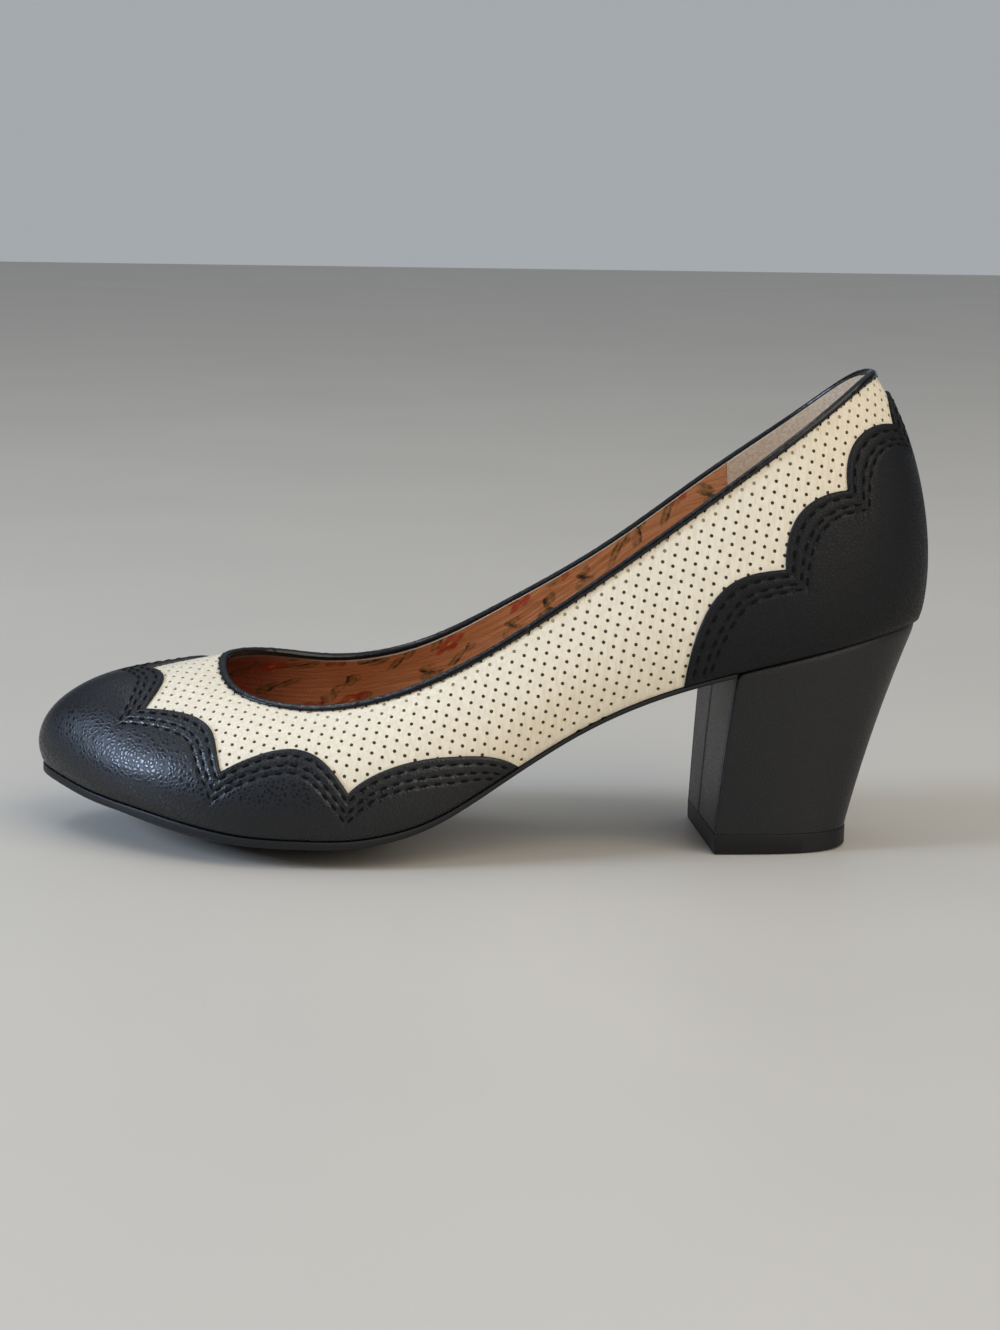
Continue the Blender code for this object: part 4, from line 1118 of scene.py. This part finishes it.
def coveredHeel(size):
    # Loops from the seat down to the lift; the breast has a butted seam and a fold beside each front edge
    seat = soleEdge(np.linspace(outsole["outerEnd"], outsole["innerEnd"], size["back"]), -size["inset"] * mm)
    seat = seat + np.array([size["forward"] * mm, 0])
    seatZ = lastBottom(seat) - size["drop"] * mm
    foot = liftOutline(size["back"], 0.0)
    down = np.linspace(0, 1, size["levels"])[:, None] ** size["crowding"]
    share = (down * (1 + size["hollow"] - size["hollow"] * down))[..., None]
    # the cover rolls in under the counter
    rollIn = size["tuck"] * mm * np.exp(-down[..., None] * size["tuckFade"])
    tucked = seat + unit(seat.mean(0) - seat) * rollIn
    back = lifted(tucked * (1 - share) + foot * share,
                  seatZ * (1 - down) + (topLift["height"] + size["gap"]) * mm * down)

    def relief(q, width):  # q runs from the inner to the outer front edge
        seamAt = (q - (1 - size["seam"])) * width / mm
        inside = size["corner"] - size["fold"]
        folds = sum(bell(side * width / mm + inside, size["foldWidth"]) for side in (q, 1 - q))
        lap = size["lap"] / (1 + np.exp(np.clip(-seamAt / size["lapWidth"], -40, 40)))
        return (size["seamDepth"] * bell(seamAt, size["seamWidth"]) + lap + size["foldDepth"] * folds) * mm

    loops = roundedLoops(back, size["breast"], size["corner"] * mm, relief)
    piece = addPiece("covered_heel", loops, ringBar(loops, False), [heelNappa], sharp=45, outward=True)
    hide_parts("heel")


def liftBlock(size):
    # The lift's outline at six heights, drawn in at its lower and upper rims, with a plain front
    back = np.stack([lifted(liftOutline(size["back"], spread), z * mm) for z, spread in size["rims"]])

    def plainFront(q, width):
        return 0 * q * width

    loops = roundedLoops(back, size["breast"], size["corner"] * mm, plainFront)
    piece = addPiece("top_lift", loops, ringBar(loops, False), [liftRubber], sharp=40, outward=True)
    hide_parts("heel_top_lift")


coveredHeel(heelBlock)
liftBlock(topLift)
print("outsole, heel and lift ready")


# Floor, light and camera

# sky is a list of tones, each with the heights between which it gives way to the next
studio = dict(floor="#CFC8BB", floorCloud="#C4BEB2", floorHalf=4, floorDrop=-0.0002, worldPower=0.76,
              sky=[("#BBC0C5", 0.05, 0.22), ("#69717B", 0.35, 0.95), ("#DFE6F0",)])
lamps = [dict(name="window", at=(-1.45, -0.36, 0.68), aim=(-0.06, -0.02, 0.03), size=(0.44, 0.44), power=20,
              colour="#C8DEFF"),
         dict(name="room", at=(1.2, -1.45, 1.4), aim=(0.04, 0, 0.06), size=(2.4, 2.4), power=40,
              colour="#FFF4E6"),
         dict(name="fill", at=(-1.5, -1.7, 0.7), aim=(0.04, 0, 0.06), size=(2.4, 2.4), power=2.5,
              colour="#F2F4FF"),
         dict(name="skylight", at=(-0.66, 0.1, 1.6), aim=(-0.05, 0, 0.05), size=(1.8, 0.1), power=3.4,
              colour="#EEF4FF")]
# focal and longSide in pixels of the picture, angles in degrees
view = dict(at=(-0.040, -0.744, 0.180), yaw=3.55, pitch=10.15, roll=0.93, focal=2829.0, longSide=1330.0,
            sensor=36.0)


def addFloor():
    # Pale lacquered board: even warm grey with a faint gloss
    material, tree, shader = startMaterial("paleLacquer", 0.42, 1.45)
    where = addNode(tree, "TexCoord", out="Object")
    cloud = addNode(tree, "TexNoise", {"Vector": where, "Scale": 6.0, "Detail": 3.0})
    tone = addNode(tree, "Mix", {0: cloud, 6: linear(studio["floorCloud"]), 7: linear(studio["floor"])},
                   **colourMix)
    tree.links.new(tone, shader.inputs["Base Color"])
    mesh = bpy.data.meshes.new("floor")
    half, z = studio["floorHalf"], studio["floorDrop"]
    mesh.from_pydata([(-half, -half, z), (half, -half, z), (half, half, z), (-half, half, z)], [],
                     [(0, 1, 2, 3)])
    mesh.materials.append(material)
    board = bpy.data.objects.new("floor", mesh)
    bpy.context.scene.collection.objects.link(board)


def addLight():
    # The sky goes from one tone to the next with height; each lamp is a rectangle turned to its aim
    world = bpy.data.worlds.new("studio")
    world.use_nodes = True
    tree = world.node_tree
    height = addNode(tree, "SeparateXYZ", (addNode(tree, "TexCoord", out="Generated"),), out="Z")
    tone = linear(studio["sky"][0][0])
    for (_, low, high), (after, *_) in zip(studio["sky"][:-1], studio["sky"][1:]):
        share = addNode(tree, "MapRange", (height, low, high), **smooth)
        tone = addNode(tree, "Mix", {0: share, 6: tone, 7: linear(after)}, **colourMix)
    back = tree.nodes["Background"]
    tree.links.new(tone, back.inputs["Color"])
    back.inputs["Strength"].default_value = studio["worldPower"]
    bpy.context.scene.world = world
    for lamp in lamps:
        data = bpy.data.lights.new(lamp["name"], "AREA")
        data.energy = lamp["power"]
        data.color = linear(lamp["colour"])[:3]
        data.shape = "RECTANGLE"
        data.size, data.size_y = lamp["size"]
        made = bpy.data.objects.new(lamp["name"], data)
        made.location = lamp["at"]
        made.rotation_euler = (Vector(lamp["at"]) - Vector(lamp["aim"])).to_track_quat("Z", "Y").to_euler()
        bpy.context.scene.collection.objects.link(made)


def addCamera():
    # Forward is +Y turned by yaw and tipped down by pitch; the picture is rolled about it
    yaw, pitch, roll = (math.radians(view[k]) for k in ("yaw", "pitch", "roll"))
    level, straightUp = np.array([math.sin(yaw), math.cos(yaw), 0]), np.array([0, 0, 1])
    right = np.array([math.cos(yaw), -math.sin(yaw), 0])
    up = math.sin(pitch) * level + math.cos(pitch) * straightUp
    forward = math.cos(pitch) * level - math.sin(pitch) * straightUp
    turn = np.eye(4)
    turn[:3, 0] = right * math.cos(roll) + up * math.sin(roll)
    turn[:3, 1] = up * math.cos(roll) - right * math.sin(roll)
    turn[:3, 2], turn[:3, 3] = -forward, view["at"]
    data = bpy.data.cameras.new("camera")
    data.sensor_width = view["sensor"]
    data.lens = view["focal"] / view["longSide"] * view["sensor"]
    camera = bpy.data.objects.new("camera", data)
    camera.matrix_world = Matrix(turn.tolist())
    bpy.context.scene.collection.objects.link(camera)
    bpy.context.scene.camera = camera


addFloor()
addLight()
addCamera()
bpy.context.scene.view_settings.view_transform = "Standard"
print("studio ready")
